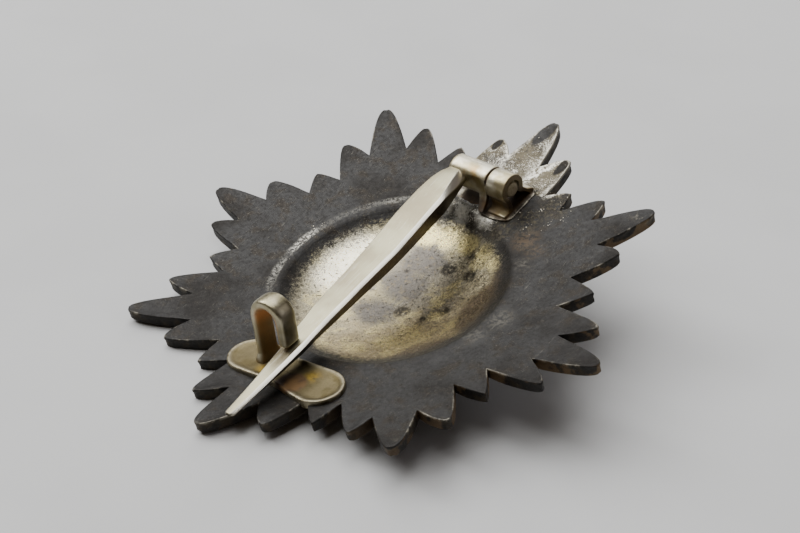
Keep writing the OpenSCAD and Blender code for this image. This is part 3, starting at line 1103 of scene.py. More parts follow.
@dataclass
class SolderGrains:
    """Small beads of solder scattered over the star's back by Geometry Nodes, thickest by the hinge."""

    per_mm2: float = 9.0
    smallest: float = 0.025
    largest: float = 0.075
    # Length, width and height of a bead against its size
    squat: Point = (1.15, 0.9, 0.55)
    seed: int = 7
    # Middle in the star's frame, reach and share of the full density, one row for each patch
    patches: tuple[tuple[Flat, float, float], ...] = (
        ((14.0, 12.0), 6.5, 0.8), ((8.8, 7.4), 3.0, 1.0), ((6.8, 9.6), 2.2, 1.0),
        ((15.0, 5.2), 3.4, 0.7), ((-10.6, 6.2), 1.5, 0.5), ((-8.8, 8.6), 1.5, 0.5),
        ((-6.9, 10.2), 1.5, 0.5), ((-10.5, -11.0), 2.6, 0.35),
    )

    def mark(self, mesh: bpy.types.Mesh) -> None:
        """Keeps the share of beads on the mesh's points."""
        back = REST.inverted()
        places = np.array([back @ v.co for v in mesh.vertices])
        share = np.zeros(len(places))
        for (x, y), reach, most in self.patches:
            away = np.hypot(places[:, 0] - x, places[:, 1] - y)
            share = np.maximum(share, most * smoothstep(reach, reach * 0.4, away))
        flat = np.column_stack([places[:, :2], np.zeros(len(places))])
        share *= smoothstep(-0.1, 0.35, waves(flat, 1.4, 81.0))
        above = places[:, 2] > STAR.back_z(np.hypot(places[:, 0], places[:, 1])) - 0.5
        kept = mesh.attributes.new("beads", "FLOAT", "POINT")
        kept.data.foreach_set("value", np.where(above, share, 0.0))

    def tree(self, look: bpy.types.Material) -> tuple[bpy.types.NodeTree, dict[str, str]]:
        """Builds the node group.

        Args:
            look: The beads' finish.

        Returns:
            The group, and the identifier of each of its inputs by name.
        """
        group = bpy.data.node_groups.new("solder_beads", "GeometryNodeTree")
        group.interface.new_socket("Geometry", in_out="INPUT", socket_type="NodeSocketGeometry")
        names = {}
        inputs = {"Density": "Float", "Smallest": "Float", "Largest": "Float", "Seed": "Int"}
        for name, kind in inputs.items():
            socket = group.interface.new_socket(name, in_out="INPUT", socket_type=f"NodeSocket{kind}")
            names[name] = socket.identifier
        group.interface.new_socket("Geometry", in_out="OUTPUT", socket_type="NodeSocketGeometry")

        add = partial(add_node, group)
        given = add("NodeGroupInput").outputs
        marked = add("GeometryNodeInputNamedAttribute", {"data_type": "FLOAT"}, {"Name": "beads"})
        density = add(
            "ShaderNodeMath", {"operation": "MULTIPLY"},
            {0: marked.outputs["Attribute"], 1: given["Density"]},
        )
        spots = add(
            "GeometryNodeDistributePointsOnFaces", {"distribute_method": "RANDOM"},
            {"Mesh": given["Geometry"], "Density": density.outputs[0], "Seed": given["Seed"]},
        )
        size = add(
            "FunctionNodeRandomValue", {"data_type": "FLOAT"},
            {2: given["Smallest"], 3: given["Largest"], "Seed": given["Seed"]},
        )
        squat = add(
            "ShaderNodeVectorMath", {"operation": "SCALE"}, {0: self.squat, "Scale": size.outputs[1]}
        )
        bead = add("GeometryNodeMeshIcoSphere", None, {"Radius": 1.0, "Subdivisions": 2})
        beads = add("GeometryNodeInstanceOnPoints", None, {
            "Points": spots.outputs["Points"], "Instance": bead.outputs["Mesh"],
            "Rotation": spots.outputs["Rotation"], "Scale": squat.outputs[0],
        })
        whole = add("GeometryNodeRealizeInstances", None, {"Geometry": beads.outputs["Instances"]})
        smooth = add("GeometryNodeSetShadeSmooth", None, {"Geometry": whole.outputs["Geometry"]})
        dressed = add(
            "GeometryNodeSetMaterial", None, {"Geometry": smooth.outputs["Geometry"], "Material": look}
        )
        add("NodeGroupOutput", None, {0: dressed.outputs["Geometry"]})
        return group, names

    def build(self, plate: bpy.types.Object, look: bpy.types.Material) -> bpy.types.Object:
        """Scatters the beads.

        Args:
            plate: The star.
            look: The beads' finish.

        Returns:
            The beads as one object.
        """
        self.mark(plate.data)
        group, names = self.tree(look)
        holder = bpy.data.objects.new("bead_source", plate.data)
        bpy.context.scene.collection.objects.link(holder)
        step = holder.modifiers.new("beads", "NODES")
        step.node_group = group
        step[names["Density"]] = self.per_mm2 / MM**2
        step[names["Smallest"]] = self.smallest * MM
        step[names["Largest"]] = self.largest * MM
        step[names["Seed"]] = self.seed
        whole = holder.evaluated_get(bpy.context.evaluated_depsgraph_get())
        mesh = bpy.data.meshes.new_from_object(whole)
        holder.modifiers.remove(step)
        bpy.data.objects.remove(holder)
        mesh.name = "solder_beads"
        made = bpy.data.objects.new("solder_beads", mesh)
        bpy.context.scene.collection.objects.link(made)
        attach(made, Body.BADGE.value)
        return made


# Shader trees


@dataclass(frozen=True)
class Kind:
    """A kind of node as the finishes use it."""

    type: str
    # Inputs that values go to, in order, and the output that is read
    inputs: tuple[int | str, ...]
    output: int | str = 0
    settings: tuple[tuple[str, str], ...] = ()


# MIX takes the second colour's share first. SPAN eases from 0 to 1, or between its last two
# values, over a range that may run downwards. NOISE has as many bumps to the millimetre as its
# scale says. MARK reads a number kept on the mesh's points. AWAY is a distance, MOST takes the
# larger value and SIZE drops the sign.
MIX = Kind("ShaderNodeMix", (0, 6, 7), 2, (("data_type", "RGBA"),))
SPAN = Kind(
    "ShaderNodeMapRange", ("Value", "From Min", "From Max", "To Min", "To Max"),
    settings=(("interpolation_type", "SMOOTHSTEP"),),
)
NOISE = Kind("ShaderNodeTexNoise", ("Vector", "Scale", "Detail", "Roughness"))
BUMP = Kind("ShaderNodeBump", ("Height", "Distance", "Normal"))
MARK = Kind("ShaderNodeAttribute", (), "Fac")
COORDS = Kind("ShaderNodeTexCoord", (), "Object")
TURN = Kind("ShaderNodeMapping", ("Vector", "Location", "Rotation", "Scale"))
STRETCH = Kind("ShaderNodeVectorMath", (0, 1), settings=(("operation", "MULTIPLY"),))
AWAY = Kind("ShaderNodeVectorMath", (0, 1), "Value", (("operation", "DISTANCE"),))
X, Y, Z = (Kind("ShaderNodeSeparateXYZ", (0,), axis) for axis in "XYZ")
PLUS, MINUS, TIMES, TIMES_PLUS, MOST, SIZE, ROOT = (
    Kind("ShaderNodeMath", (0, 1, 2), settings=(("operation", name),))
    for name in ("ADD", "SUBTRACT", "MULTIPLY", "MULTIPLY_ADD", "MAXIMUM", "ABSOLUTE", "SQRT")
)


def grey_level(level: float) -> tuple[float, float, float, float]:
    """A grey in linear light, with an alpha of 1."""
    return level, level, level, 1.0


class Shader:
    """A material's node tree while it is being built."""

    def __init__(self, name: str) -> None:
        """Starts an empty material of that name."""
        self.material = bpy.data.materials.new(name)
        self.material.use_nodes = True
        self.tree = self.material.node_tree
        self.tree.nodes.clear()

    def add(self, kind: Kind, *values: Value, **settings: str) -> Socket:
        """Adds a node.

        Args:
            kind: Its kind.
            *values: What goes to the kind's inputs, in their order.
            **settings: Settings besides the kind's own, such as the name of a mark.

        Returns:
            The output that is read.
        """
        links = dict(zip(kind.inputs, values))
        node = add_node(self.tree, kind.type, {**dict(kind.settings), **settings}, links)
        return node.outputs[kind.output]

    def chain(self, kind: Kind, *values: Value) -> Value:
        """Joins values one after another with nodes of one kind, as in a product of several."""
        return reduce(partial(self.add, kind), values)

    def stir(self, value: Value, wave: Value, amount: float) -> Socket:
        """Shifts a value by noise, up and down by half of the amount at most."""
        return self.add(PLUS, value, self.add(TIMES_PLUS, wave, amount, -amount / 2))

    def place(self, frame: Matrix = REST, stretch: Point | None = None) -> Socket:
        """Adds object coordinates, turned back into a frame in millimetres.

        Args:
            frame: Matrix from that frame to the row's.
            stretch: Scales applied along the frame's axes.

        Returns:
            The place's socket.
        """
        back = frame.inverted()
        spin = back.to_3x3().normalized().to_euler("XYZ")
        place = self.add(TURN, self.add(COORDS), back.translation, spin, (1 / MM,) * 3)
        return place if stretch is None else self.add(STRETCH, place, stretch)

    def blob(self, place: Socket, middle: Point, radius: float, soft: float) -> Socket:
        """A soft round patch.

        Args:
            place: Socket with the place in millimetres.
            middle: The patch's middle.
            radius: Distance where it has faded out.
            soft: Width of its fading.

        Returns:
            One inside and nothing outside.
        """
        return self.add(SPAN, self.add(AWAY, place, middle), radius, radius - soft)

    def blobs(self, place: Socket, rows: Sequence[tuple[Point, float]], soft: float = 1.0) -> Value:
        """The strongest of several soft patches, each given as its middle and radius."""
        spots = (self.blob(place, middle, radius, min(soft, radius)) for middle, radius in rows)
        return self.chain(MOST, 0.0, *spots)

    def close(
        self, colour: Value, metallic: Value, rough: Value, normal: Socket | None = None
    ) -> bpy.types.Material:
        """Ends the tree in a Principled shader.

        Args:
            colour: Base colour.
            metallic: 1 for bare metal.
            rough: Roughness.
            normal: Relief, where there is any.

        Returns:
            The finished material.
        """
        links = {"Base Color": colour, "Metallic": metallic, "Roughness": rough}
        if normal is not None:
            links["Normal"] = normal
        shader = add_node(self.tree, "ShaderNodeBsdfPrincipled", None, links)
        add_node(self.tree, "ShaderNodeOutputMaterial", None, {"Surface": shader.outputs[0]})
        return self.material


# Finishes


@dataclass(frozen=True)
class Ground:
    """Sockets that the parts of the star's finish share."""

    place: Socket
    x: Socket
    y: Socket
    # Distance from the star's middle, in millimetres
    r: Socket
    # Noises, from the widest to the finest, and the two finest together
    broad: Socket
    middle: Socket
    fine: Socket
    grain: Socket
    speckle: Value
    # 1 on the back and 0 on the front
    back: Socket
    # Soft patches by name
    at: dict[str, Value]


@dataclass(frozen=True)
class TarnishedSilver:
    """Cast silver left to tarnish: sulphide grey on the plate, soot brown on the walls with painted shade,
    rubbed bright in the hollow, on the edges and where solder ran out round the hinge, with painted
    highlights in the hollow, on its shoulder, on the solder heap and along the rays' flanks, and painted
    shade over the hollow's middle and a painted shadow of the blade."""

    name: str = "silver_cast_tarnished"
    grey: str = "393837"
    dark: str = "2c2a28"
    brown: str = "35302a"
    pale: str = "7d796f"
    silver: str = "c2bcab"
    hot: str = "f9f1d6"
    straw: str = "d6c68a"
    tan: str = "94815a"
    rubbed: str = "9d957d"
    film: str = "7b7465"
    haze: str = "57534e"
    shade: str = "5f5243"
    solder: str = "625b4b"
    lead: str = "3d3933"
    bright: str = "e6e2d5"
    pit: str = "1e1a16"
    soot: str = "1a1713"
    rust: str = "332a1b"
    gilt: str = "69553a"

    def patches(self, s: Shader, place: Socket) -> dict[str, Value]:
        """Soft patches of the finish, placed in the star's frame.

        Args:
            s: The tree.
            place: Places in the star's frame.

        Returns:
            A socket for each patch, by name.
        """
        rows = {
            # Solder that ran out round the hinge and up the rays behind it
            "spill": (
                2.4,
                ((15.0, 13.0, -1.0), 5.8), ((12.0, 15.5, -1.0), 4.8), ((16.5, 9.5, -1.0), 3.6),
                ((9.2, 7.0, -2.3), 3.0), ((6.9, 9.4, -2.4), 2.2),
            ),
            # Thinner smears of it
            "smear": (
                2.0,
                ((13.6, 4.8, -2.0), 2.4), ((16.2, 5.6, -1.6), 2.4), ((18.8, 6.6, -1.2), 2.0),
                ((10.6, 4.6, -2.4), 2.2),
            ),
            # Painted shadow of the blade: darker along it and beside it, where its shadow and reflection fall
            "haze": (3.4, ((3.0, 4.8, -4.9), 4.2), ((0.6, 2.2, -5.1), 4.4), ((-2.2, -0.8, -5.1), 4.0)),
            # Casting pits in the hollow
            "pits": (
                0.5,
                ((5.14, 2.99, -4.7), 1.1), ((7.03, 1.07, -4.4), 1.0), ((0.29, -1.5, -5.2), 1.0),
                ((2.18, -3.3, -5.0), 0.7), ((7.45, 3.55, -4.1), 0.6), ((9.1, 3.27, -3.5), 0.8),
                ((4.4, -2.9, -4.9), 0.8), ((-1.46, 4.6, -5.0), 0.7), ((-4.6, 1.2, -4.9), 0.5),
                ((1.0, 4.2, -5.1), 0.5),
            ),
            # Painted highlight beside the blade, straw yellow round the upper right and low left
            "hot": (3.6, ((-4.6, 6.2, -4.0), 4.4), ((-3.0, 7.6, -3.9), 3.6), ((-6.2, 4.4, -4.1), 3.4)),
            "straw": (
                1.8,
                ((3.4, 7.9, -4.0), 2.1), ((5.4, 6.9, -4.0), 2.1), ((7.4, 5.2, -3.9), 2.1),
                ((8.9, 3.1, -3.6), 1.9), ((9.6, 1.2, -3.5), 1.4),
            ),
            "dim_straw": (
                2.4,
                ((-4.2, -6.6, -4.3), 2.4), ((-1.4, -6.0, -4.6), 2.4), ((1.2, -4.9, -4.9), 1.9),
                ((3.4, -3.3, -4.9), 1.5),
            ),
            # Solder heaped in front of the hinge, painted bright as the highlight on its crest
            "heap": (1.6, ((7.4, 8.6, -2.6), 1.5), ((9.4, 6.9, -2.4), 1.5), ((6.0, 9.9, -2.6), 1.2)),
            # Grey film over the hollow's middle, darker also as painted shade for its dimmer reflection
            "film": (3.0, ((1.6, 2.6, -5.1), 5.6), ((4.2, -1.0, -5.0), 3.6), ((-2.5, 0.5, -5.1), 3.6)),
            # Brown tarnish on the hollow's near right side
            "shade": (3.6, ((9.4, -5.6, -3.2), 5.6), ((2.6, -11.6, -2.8), 5.4), ((11.0, -1.5, -2.4), 3.6)),
            # Brown stain and pale smears beside the hollow
            "stain": (1.8, ((12.9, 2.2, -2.0), 2.2), ((13.6, 0.2, -1.8), 1.6)),
            "smears": (2.0, ((9.6, -8.4, -2.0), 2.2), ((7.2, -9.9, -2.0), 2.0), ((12.2, -1.2, -2.0), 1.4)),
            # Rubbed spots on the plate
            "rubs": (1.0, ((-0.3, -23.4, 0.0), 1.0), ((4.3, -20.6, -0.6), 0.9), ((24.2, 0.6, 0.0), 1.5)),
        }
        made = {name: s.blobs(place, row[1:], row[0]) for name, row in rows.items()}
        # Ray tips that stayed dark among the solder, as middle, direction, half length, half width
        tips = (
            (16.5, 16.55, 34.0, 2.0, 0.72),
            (17.7, 11.2, 34.9, 1.5, 0.55),
            (11.55, 17.05, 46.0, 0.95, 0.45),
        )
        made["tips"] = 0.0
        for at_x, at_y, turn, long, wide in tips:
            spin = Matrix.Rotation(math.radians(turn), 4, "Z")
            ray = REST @ Matrix.Translation((at_x, at_y, 0)) @ spin
            oval = s.blob(s.place(ray, (1 / long, 1 / wide, 0.0)), (0.0, 0.0, 0.0), 1.1, 0.3)
            made["tips"] = s.chain(MOST, made["tips"], oval)
        return made

    def ground(self, s: Shader) -> Ground:
        """Adds the shared sockets.

        Args:
            s: The tree.

        Returns:
            The sockets.
        """
        place = s.place()
        x, y = s.add(X, place), s.add(Y, place)
        fine = s.add(NOISE, place, 2.6, 5.0, 0.72)
        grain = s.add(NOISE, place, 7.0, 3.0, 0.8)
        return Ground(
            place=place, x=x, y=y,
            r=s.add(ROOT, s.chain(PLUS, s.chain(TIMES, x, x), s.chain(TIMES, y, y))),
            broad=s.add(NOISE, place, 0.13, 3.0, 0.55),
            middle=s.add(NOISE, place, 0.6, 5.0, 0.62),
            fine=fine, grain=grain, speckle=s.chain(PLUS, fine, s.chain(TIMES, grain, 0.6)),
            back=s.add(MINUS, 1.0, s.add(MARK, attribute_name="front")),
            at=self.patches(s, place),
        )

    def plate(self, s: Shader, g: Ground) -> Socket:
        """Sulphide grey, browner in clouds, with pale rubbed specks and scratches.

        Args:
            s: The tree.
            g: The shared sockets.

        Returns:
            The colour's socket.
        """
        scratch = s.add(NOISE, s.place(HINGE.blade_frame(), (0.25, 3.0, 3.0)), 2.2, 3.0, 0.7)
        colour = s.add(MIX, s.add(SPAN, g.broad, 0.42, 0.6), self.grey, self.dark)
        colour = s.add(MIX, s.chain(TIMES, s.add(SPAN, g.middle, 0.5, 0.64), 0.7), colour, self.brown)
        colour = s.add(MIX, s.chain(TIMES, s.add(SPAN, g.fine, 0.5, 0.64), 0.35), colour, self.dark)
        specks = s.chain(TIMES, s.add(SPAN, g.grain, 0.6, 0.68), s.add(SPAN, g.middle, 0.42, 0.56))
        colour = s.add(MIX, s.chain(TIMES, specks, 0.55), colour, self.pale)
        glints = s.add(SPAN, s.add(NOISE, g.place, 11.0, 2.0), 0.63, 0.7)
        glints = s.chain(TIMES, glints, s.add(SPAN, g.r, 17.0, 11.0), s.add(SPAN, g.middle, 0.4, 0.56))
        colour = s.add(MIX, glints, colour, self.solder)
        stain = s.chain(TIMES, g.at["stain"], s.add(SPAN, g.fine, 0.42, 0.56), 0.7)
        colour = s.add(MIX, stain, colour, self.shade)
        smears = s.chain(TIMES, g.at["smears"], s.add(SPAN, g.fine, 0.44, 0.6), 0.45)
        colour = s.add(MIX, smears, colour, self.pale)
        return s.add(MIX, s.chain(TIMES, s.add(SPAN, scratch, 0.64, 0.72), 0.35), colour, self.pale)

    def hollow(self, s: Shader, g: Ground) -> Socket:
        """Rubbed to silver and straw, browner low down, filmed grey in the middle with painted shade,
        with a painted highlight beside the blade and a painted shadow of the blade along it.

        Args:
            s: The tree.
            g: The shared sockets.

        Returns:
            The colour's socket.
        """
        low = s.add(SPAN, s.stir(g.y, g.middle, 8.0), 2.0, -7.0)
        colour = s.add(MIX, s.chain(TIMES, low, 0.6), self.rubbed, self.tan)
        # Grey film over the middle, darker also as painted shade
        film = s.add(SPAN, s.chain(PLUS, g.at["film"], s.chain(TIMES, g.middle, 1.2)), 0.7, 1.3)
        colour = s.add(MIX, s.chain(TIMES, film, 0.9), colour, self.film)
        # Painted shadow of the blade, darker along and beside it
        haze = s.add(SPAN, s.chain(PLUS, g.at["haze"], g.middle), 0.75, 1.35)
        colour = s.add(MIX, s.chain(TIMES, haze, 0.9), colour, self.haze)
        clouds = s.add(SPAN, s.add(NOISE, g.place, 0.34, 4.0, 0.6), 0.5, 0.58)
        colour = s.add(MIX, s.chain(TIMES, clouds, s.add(MINUS, 1.0, g.at["haze"]), 0.42), colour, self.straw)
        shade = s.add(SPAN, s.chain(PLUS, g.at["shade"], g.fine), 0.65, 1.05)
        colour = s.add(MIX, s.chain(TIMES, shade, 0.95), colour, self.shade)
        for name, start, end, share in (("dim_straw", 0.85, 1.5, 0.55), ("straw", 0.75, 1.4, 0.9)):
            straw = s.add(SPAN, s.chain(PLUS, g.at[name], s.chain(TIMES, g.fine, 1.2)), start, end)
            colour = s.add(MIX, s.chain(TIMES, straw, share), colour, self.straw)
        # Painted highlight: near-white beside the blade, where the hollow catches the light
        colour = s.add(MIX, s.chain(TIMES, g.at["hot"], s.add(SPAN, g.fine, 0.25, 0.5)), colour, self.hot)
        return s.add(MIX, s.chain(TIMES, s.add(SPAN, g.fine, 0.54, 0.68), 0.4), colour, self.tan)

    def ring(self, s: Shader, g: Ground) -> Value:
        """Painted highlight: speckled silver along the hollow's shoulder, partly rubbed and partly the light
        caught by its rounded rim, brightest at the far left.

        Args:
            s: The tree.
            g: The shared sockets.

        Returns:
            Its share at each place.
        """
        band = s.chain(TIMES, s.add(SPAN, g.r, 11.7, 12.05), s.add(SPAN, g.r, 12.8, 12.3))
        band = s.chain(TIMES, band, s.add(SPAN, s.add(MINUS, g.x, g.y), 0.0, -9.0), g.back)
        far_left = s.blob(g.place, (-8.8, 8.3, -1.6), 3.0, 2.4)
        lit = s.chain(MOST, far_left, s.add(SPAN, g.broad, 0.5, 0.62, 0.12, 0.5))
        return s.chain(TIMES, band, lit, s.add(SPAN, g.speckle, 0.72, 0.88))

    def spill(self, s: Shader, g: Ground) -> tuple[Socket, Value, Value]:
        """Solder that ran out, pale and mottled, with a painted highlight along the rays' flanks.

        Args:
            s: The tree.
            g: The shared sockets.

        Returns:
            Its colour, its share at each place, and the share of its thin smears.
        """
        ran = s.add(SPAN, s.stir(g.at["spill"], g.fine, 1.6), 0.35, 0.7)
        tips = s.chain(TIMES, g.at["tips"], s.add(SPAN, g.fine, 0.75, 0.6))
        ran = s.chain(TIMES, ran, s.add(MINUS, 1.0, tips), g.back)
        smear = s.chain(TIMES, g.at["smear"], s.add(SPAN, g.speckle, 0.74, 0.9), g.back)
        clouds = s.add(SPAN, s.chain(PLUS, g.broad, s.chain(TIMES, g.fine, 0.9)), 0.84, 1.06)
        colour = s.add(MIX, clouds, self.lead, self.solder)
        colour = s.add(MIX, s.chain(TIMES, s.add(SPAN, g.fine, 0.6, 0.7), 0.5), colour, self.dark)
        grains = s.add(SPAN, s.chain(PLUS, g.grain, s.chain(TIMES, g.middle, 0.6)), 0.86, 0.98)
        colour = s.add(MIX, s.chain(TIMES, grains, 0.8), colour, self.bright)
        # Painted highlight: bright colour along the rays' flanks, where they catch the light
        flank = s.chain(TIMES, s.add(MARK, attribute_name="flank"), s.add(SPAN, g.fine, 0.42, 0.56), 0.9)
        return s.add(MIX, flank, colour, self.bright), ran, smear

    def walls(self, s: Shader, g: Ground) -> Socket:
        """Soot and painted shade on the walls, with brown and gilt patches, more so to the right.

        Args:
            s: The tree.
            g: The shared sockets.

        Returns:
            The colour's socket.
        """
        colour = s.add(MIX, s.add(SPAN, g.middle, 0.46, 0.6), self.soot, self.rust)
        warm = s.chain(PLUS, s.add(NOISE, g.place, 0.42, 3.0), s.chain(TIMES, g.grain, 0.15))
        right, low = s.add(SPAN, g.x, -16.0, 12.0), s.add(SPAN, g.y, 11.0, 5.0)
        warm = s.chain(TIMES, s.add(SPAN, warm, 0.58, 0.64), right, low)
        colour = s.add(MIX, s.chain(TIMES, warm, 0.75), colour, self.gilt)
        return s.add(MIX, s.chain(TIMES, s.add(SPAN, g.grain, 0.6, 0.7), 0.12), colour, self.pale)

    def build(self) -> bpy.types.Material:
        """Builds the material."""
        s = Shader(self.name)
        g = self.ground(s)
        wall, edge = s.add(MARK, attribute_name="wall"), s.add(MARK, attribute_name="edge")

        # The hollow, with a ragged and grainy border, and the painted highlight of silver along its shoulder
        border = s.stir(s.stir(g.r, g.fine, 2.6), g.grain, 3.4)
        bowl = s.chain(TIMES, s.add(SPAN, border, 10.6, 8.8), g.back)
        colour = s.add(MIX, bowl, self.plate(s, g), self.hollow(s, g))
        # Painted highlight along the hollow's shoulder
        ring = self.ring(s, g)
        colour = s.add(MIX, s.chain(TIMES, ring, 0.85), colour, self.bright)

        # Solder, then casting pits, which are nearly black
        mottled, ran, smear = self.spill(s, g)
        colour = s.add(MIX, ran, colour, mottled)
        colour = s.add(MIX, s.chain(TIMES, smear, s.add(MINUS, 1.0, ran), 0.75), colour, self.solder)
        # Painted highlight on the solder heap's crest
        heap = s.chain(TIMES, g.at["heap"], s.add(SPAN, g.speckle, 0.6, 0.78))
        colour = s.add(MIX, heap, colour, self.bright)
        holes = s.chain(TIMES, g.at["pits"], s.add(SPAN, s.add(NOISE, g.place, 3.0, 3.0), 0.36, 0.48), bowl)
        dots = s.add(SPAN, s.add(NOISE, g.place, 3.6, 1.0), 0.63, 0.68)
        dots = s.chain(TIMES, dots, s.chain(MOST, bowl, 0.35), g.back)
        dark = s.chain(MOST, s.chain(TIMES, holes, 0.88), s.chain(TIMES, dots, 0.8))
        colour = s.add(MIX, dark, colour, self.pit)

        # Walls, soot dark with painted shade, then edges, which are rubbed bright in places
        sides = s.add(SPAN, wall, 0.2, 0.9)
        colour = s.add(MIX, sides, colour, self.walls(s, g))
        kept = s.chain(MOST, s.add(SPAN, g.middle, 0.5, 0.66), s.chain(TIMES, g.at["spill"], 0.9))
        often = s.add(SPAN, g.at["spill"], 0.0, 0.5, 0.5, 0.95)
        rubbed = s.chain(TIMES, s.chain(MOST, edge, g.at["rubs"]), kept, often)
        colour = s.add(MIX, rubbed, colour, self.silver)

        bare = s.chain(MOST, ran, smear, ring)
        rough = s.add(SPAN, g.fine, 0.35, 0.65, 0.46, 0.62)
        rough = s.add(MIX, bowl, rough, s.add(SPAN, g.fine, 0.35, 0.7, 0.2, 0.34))
        rough = s.add(MIX, s.chain(TIMES, bare, 0.9), rough, s.add(SPAN, g.grain, 0.35, 0.7, 0.28, 0.44))
        rough = s.add(MIX, rubbed, rough, grey_level(0.3))
        rough = s.add(MIX, sides, rough, s.add(SPAN, g.fine, 0.35, 0.65, 0.52, 0.7))
        normal = s.add(BUMP, g.fine, 0.045 * MM)
        normal = s.add(BUMP, s.chain(TIMES, g.grain, s.chain(PLUS, bare, 0.5)), 0.035 * MM, normal)
        metallic = s.add(SPAN, wall, 0.2, 0.9, 0.94, 0.45)
        return s.close(colour, metallic, rough, normal)


@dataclass(frozen=True)
class RubbedSilver:
    """Rolled silver strip, filed along its length: cream on top, bright on its bevel with a painted
    highlight, and brown on its side as painted shade, lighter towards the root.
    """

    name: str = "silver_strip_rubbed"
    base: str = "aea88c"
    warm: str = "9b9279"
    bright: str = "e2ded2"
    side: str = "51463a"
    nick: str = "6b604d"

    def build(self) -> bpy.types.Material:
        """Builds the material."""
        s = Shader(self.name)
        place = s.place(HINGE.blade_frame())
        drawn = s.place(HINGE.blade_frame(), (0.12, 5.0, 5.0))
        broad = s.add(NOISE, place, 0.2, 3.0)
        lines = s.add(NOISE, drawn, 1.6, 4.0, 0.7)
        fine = s.add(NOISE, place, 4.0, 4.0, 0.7)
        side, bevel = s.add(MARK, attribute_name="side"), s.add(MARK, attribute_name="bevel")
        colour = s.add(MIX, s.add(SPAN, broad, 0.42, 0.62), self.base, self.warm)
        colour = s.add(MIX, s.chain(TIMES, s.add(SPAN, lines, 0.55, 0.7), 0.35), colour, self.bright)
        colour = s.add(MIX, s.chain(TIMES, s.add(SPAN, fine, 0.64, 0.72), 0.4), colour, self.nick)
        # Painted highlight on the bevel
        colour = s.add(MIX, s.chain(TIMES, bevel, 0.8), colour, self.bright)
        # Painted shade: dark brown on the blade's side
        below = s.add(MIX, s.add(SPAN, fine, 0.4, 0.65), self.side, self.nick)
        colour = s.add(MIX, s.add(SPAN, side, 0.5, 1.0), colour, below)
        rough = s.add(MIX, bevel, s.add(SPAN, lines, 0.35, 0.7, 0.34, 0.46), grey_level(0.3))
        normal = s.add(BUMP, lines, 0.012 * MM)
        return s.close(colour, 1.0, rough, normal)


@dataclass(frozen=True)
class WornGilt:
    """Silver with worn yellow gilding: pale on rubbed faces, orange brown and soot dark in corners, low
    down and at the joint's gap, as soot and as painted shade.
    """

    name: str
    frame: Matrix
    # Soft patches as middle and radius in the piece's own frame: stained orange, painted shade, kept gilt
    stains: tuple[tuple[Point, float], ...] = ()
    shade_spots: tuple[tuple[Point, float], ...] = ()
    kept: tuple[tuple[Point, float], ...] = ()
    # Soot and painted shade darken from the first to the second height of that frame
    soot_shade_from: float = -0.5
    soot_shade_to: float = -1.6
    pale: str = "d6d0bc"
    gold: str = "aba07f"
    rim: str = "c9c2ac"
    stain: str = "a8824a"
    orange: str = "7a5a30"
    soot: str = "2a1e12"
    dusky: str = "6f5f40"
    dull: str = "857452"
    # How much of the soot and shade turns orange in clouds, and the heights over which all of it does
    patchy: float = 0.7
    glow: Flat = (BEYOND - 1.0, BEYOND)
    # Places along the piece's y: the joint's gap, darkened as painted shade, and where its dusky end face
    # starts
    gap: float = BEYOND
    end: float = BEYOND
    rough: Flat = (0.3, 0.44)

    def build(self) -> bpy.types.Material:
        """Builds the material."""
        s = Shader(self.name)
        place = s.place(self.frame)
        y, z = s.add(Y, place), s.add(Z, place)
        broad = s.add(NOISE, place, 0.5, 3.0)
        middle = s.add(NOISE, place, 1.3, 4.0, 0.6)
        fine = s.add(NOISE, place, 6.0, 4.0, 0.7)
        colour = s.add(MIX, s.add(SPAN, broad, 0.4, 0.62), self.pale, self.gold)
        colour = s.add(MIX, s.chain(TIMES, s.add(SPAN, fine, 0.55, 0.72), 0.4), colour, self.gold)
        stained = s.chain(TIMES, s.blobs(place, self.stains, 9.0), s.add(SPAN, middle, 0.38, 0.58))
        colour = s.add(MIX, s.chain(TIMES, stained, 0.8), colour, self.stain)
        rim = s.chain(TIMES, s.add(MARK, attribute_name="rim"), s.add(SPAN, middle, 0.3, 0.5), 0.85)
        colour = s.add(MIX, rim, colour, self.rim)
        # Painted shade with soot: darker low down, on the marked insides, in the shade spots and at the
        # joint's gap
        height = s.stir(z, middle, 0.8)
        deep = s.add(SPAN, height, self.soot_shade_from, self.soot_shade_to)
        deep = s.chain(MOST, deep, s.add(MARK, attribute_name="soot"), s.blobs(place, self.shade_spots, 0.5))
        deep = s.chain(TIMES, deep, s.add(MINUS, 1.0, s.chain(TIMES, s.blobs(place, self.kept, 0.6), 0.75)))
        away = s.add(SIZE, s.add(MINUS, y, self.gap))
        deep = s.chain(MOST, deep, s.add(SPAN, away, 0.24, 0.12))
        clouds = s.chain(TIMES, s.add(SPAN, broad, 0.4, 0.62), self.patchy)
        warm = s.chain(MOST, clouds, s.add(SPAN, z, *self.glow))
        dirt_and_shade = s.add(MIX, warm, self.soot, self.orange)
        ended = s.add(SPAN, y, self.end, self.end + 0.08)
        face = s.add(MIX, s.add(SPAN, fine, 0.4, 0.6), self.dusky, self.dull)
        colour = s.add(MIX, s.chain(TIMES, ended, 0.85), colour, face)
        colour = s.add(MIX, s.chain(TIMES, deep, 0.93), colour, dirt_and_shade)
        dull = s.chain(MOST, deep, ended)
        rough = s.add(MIX, dull, s.add(SPAN, fine, 0.35, 0.65, *self.rough), grey_level(0.6))
        metal = s.add(SPAN, dull, 0.0, 1.0, 1.0, 0.35)
        normal = s.add(BUMP, fine, 0.012 * MM)
        return s.close(colour, metal, rough, normal)


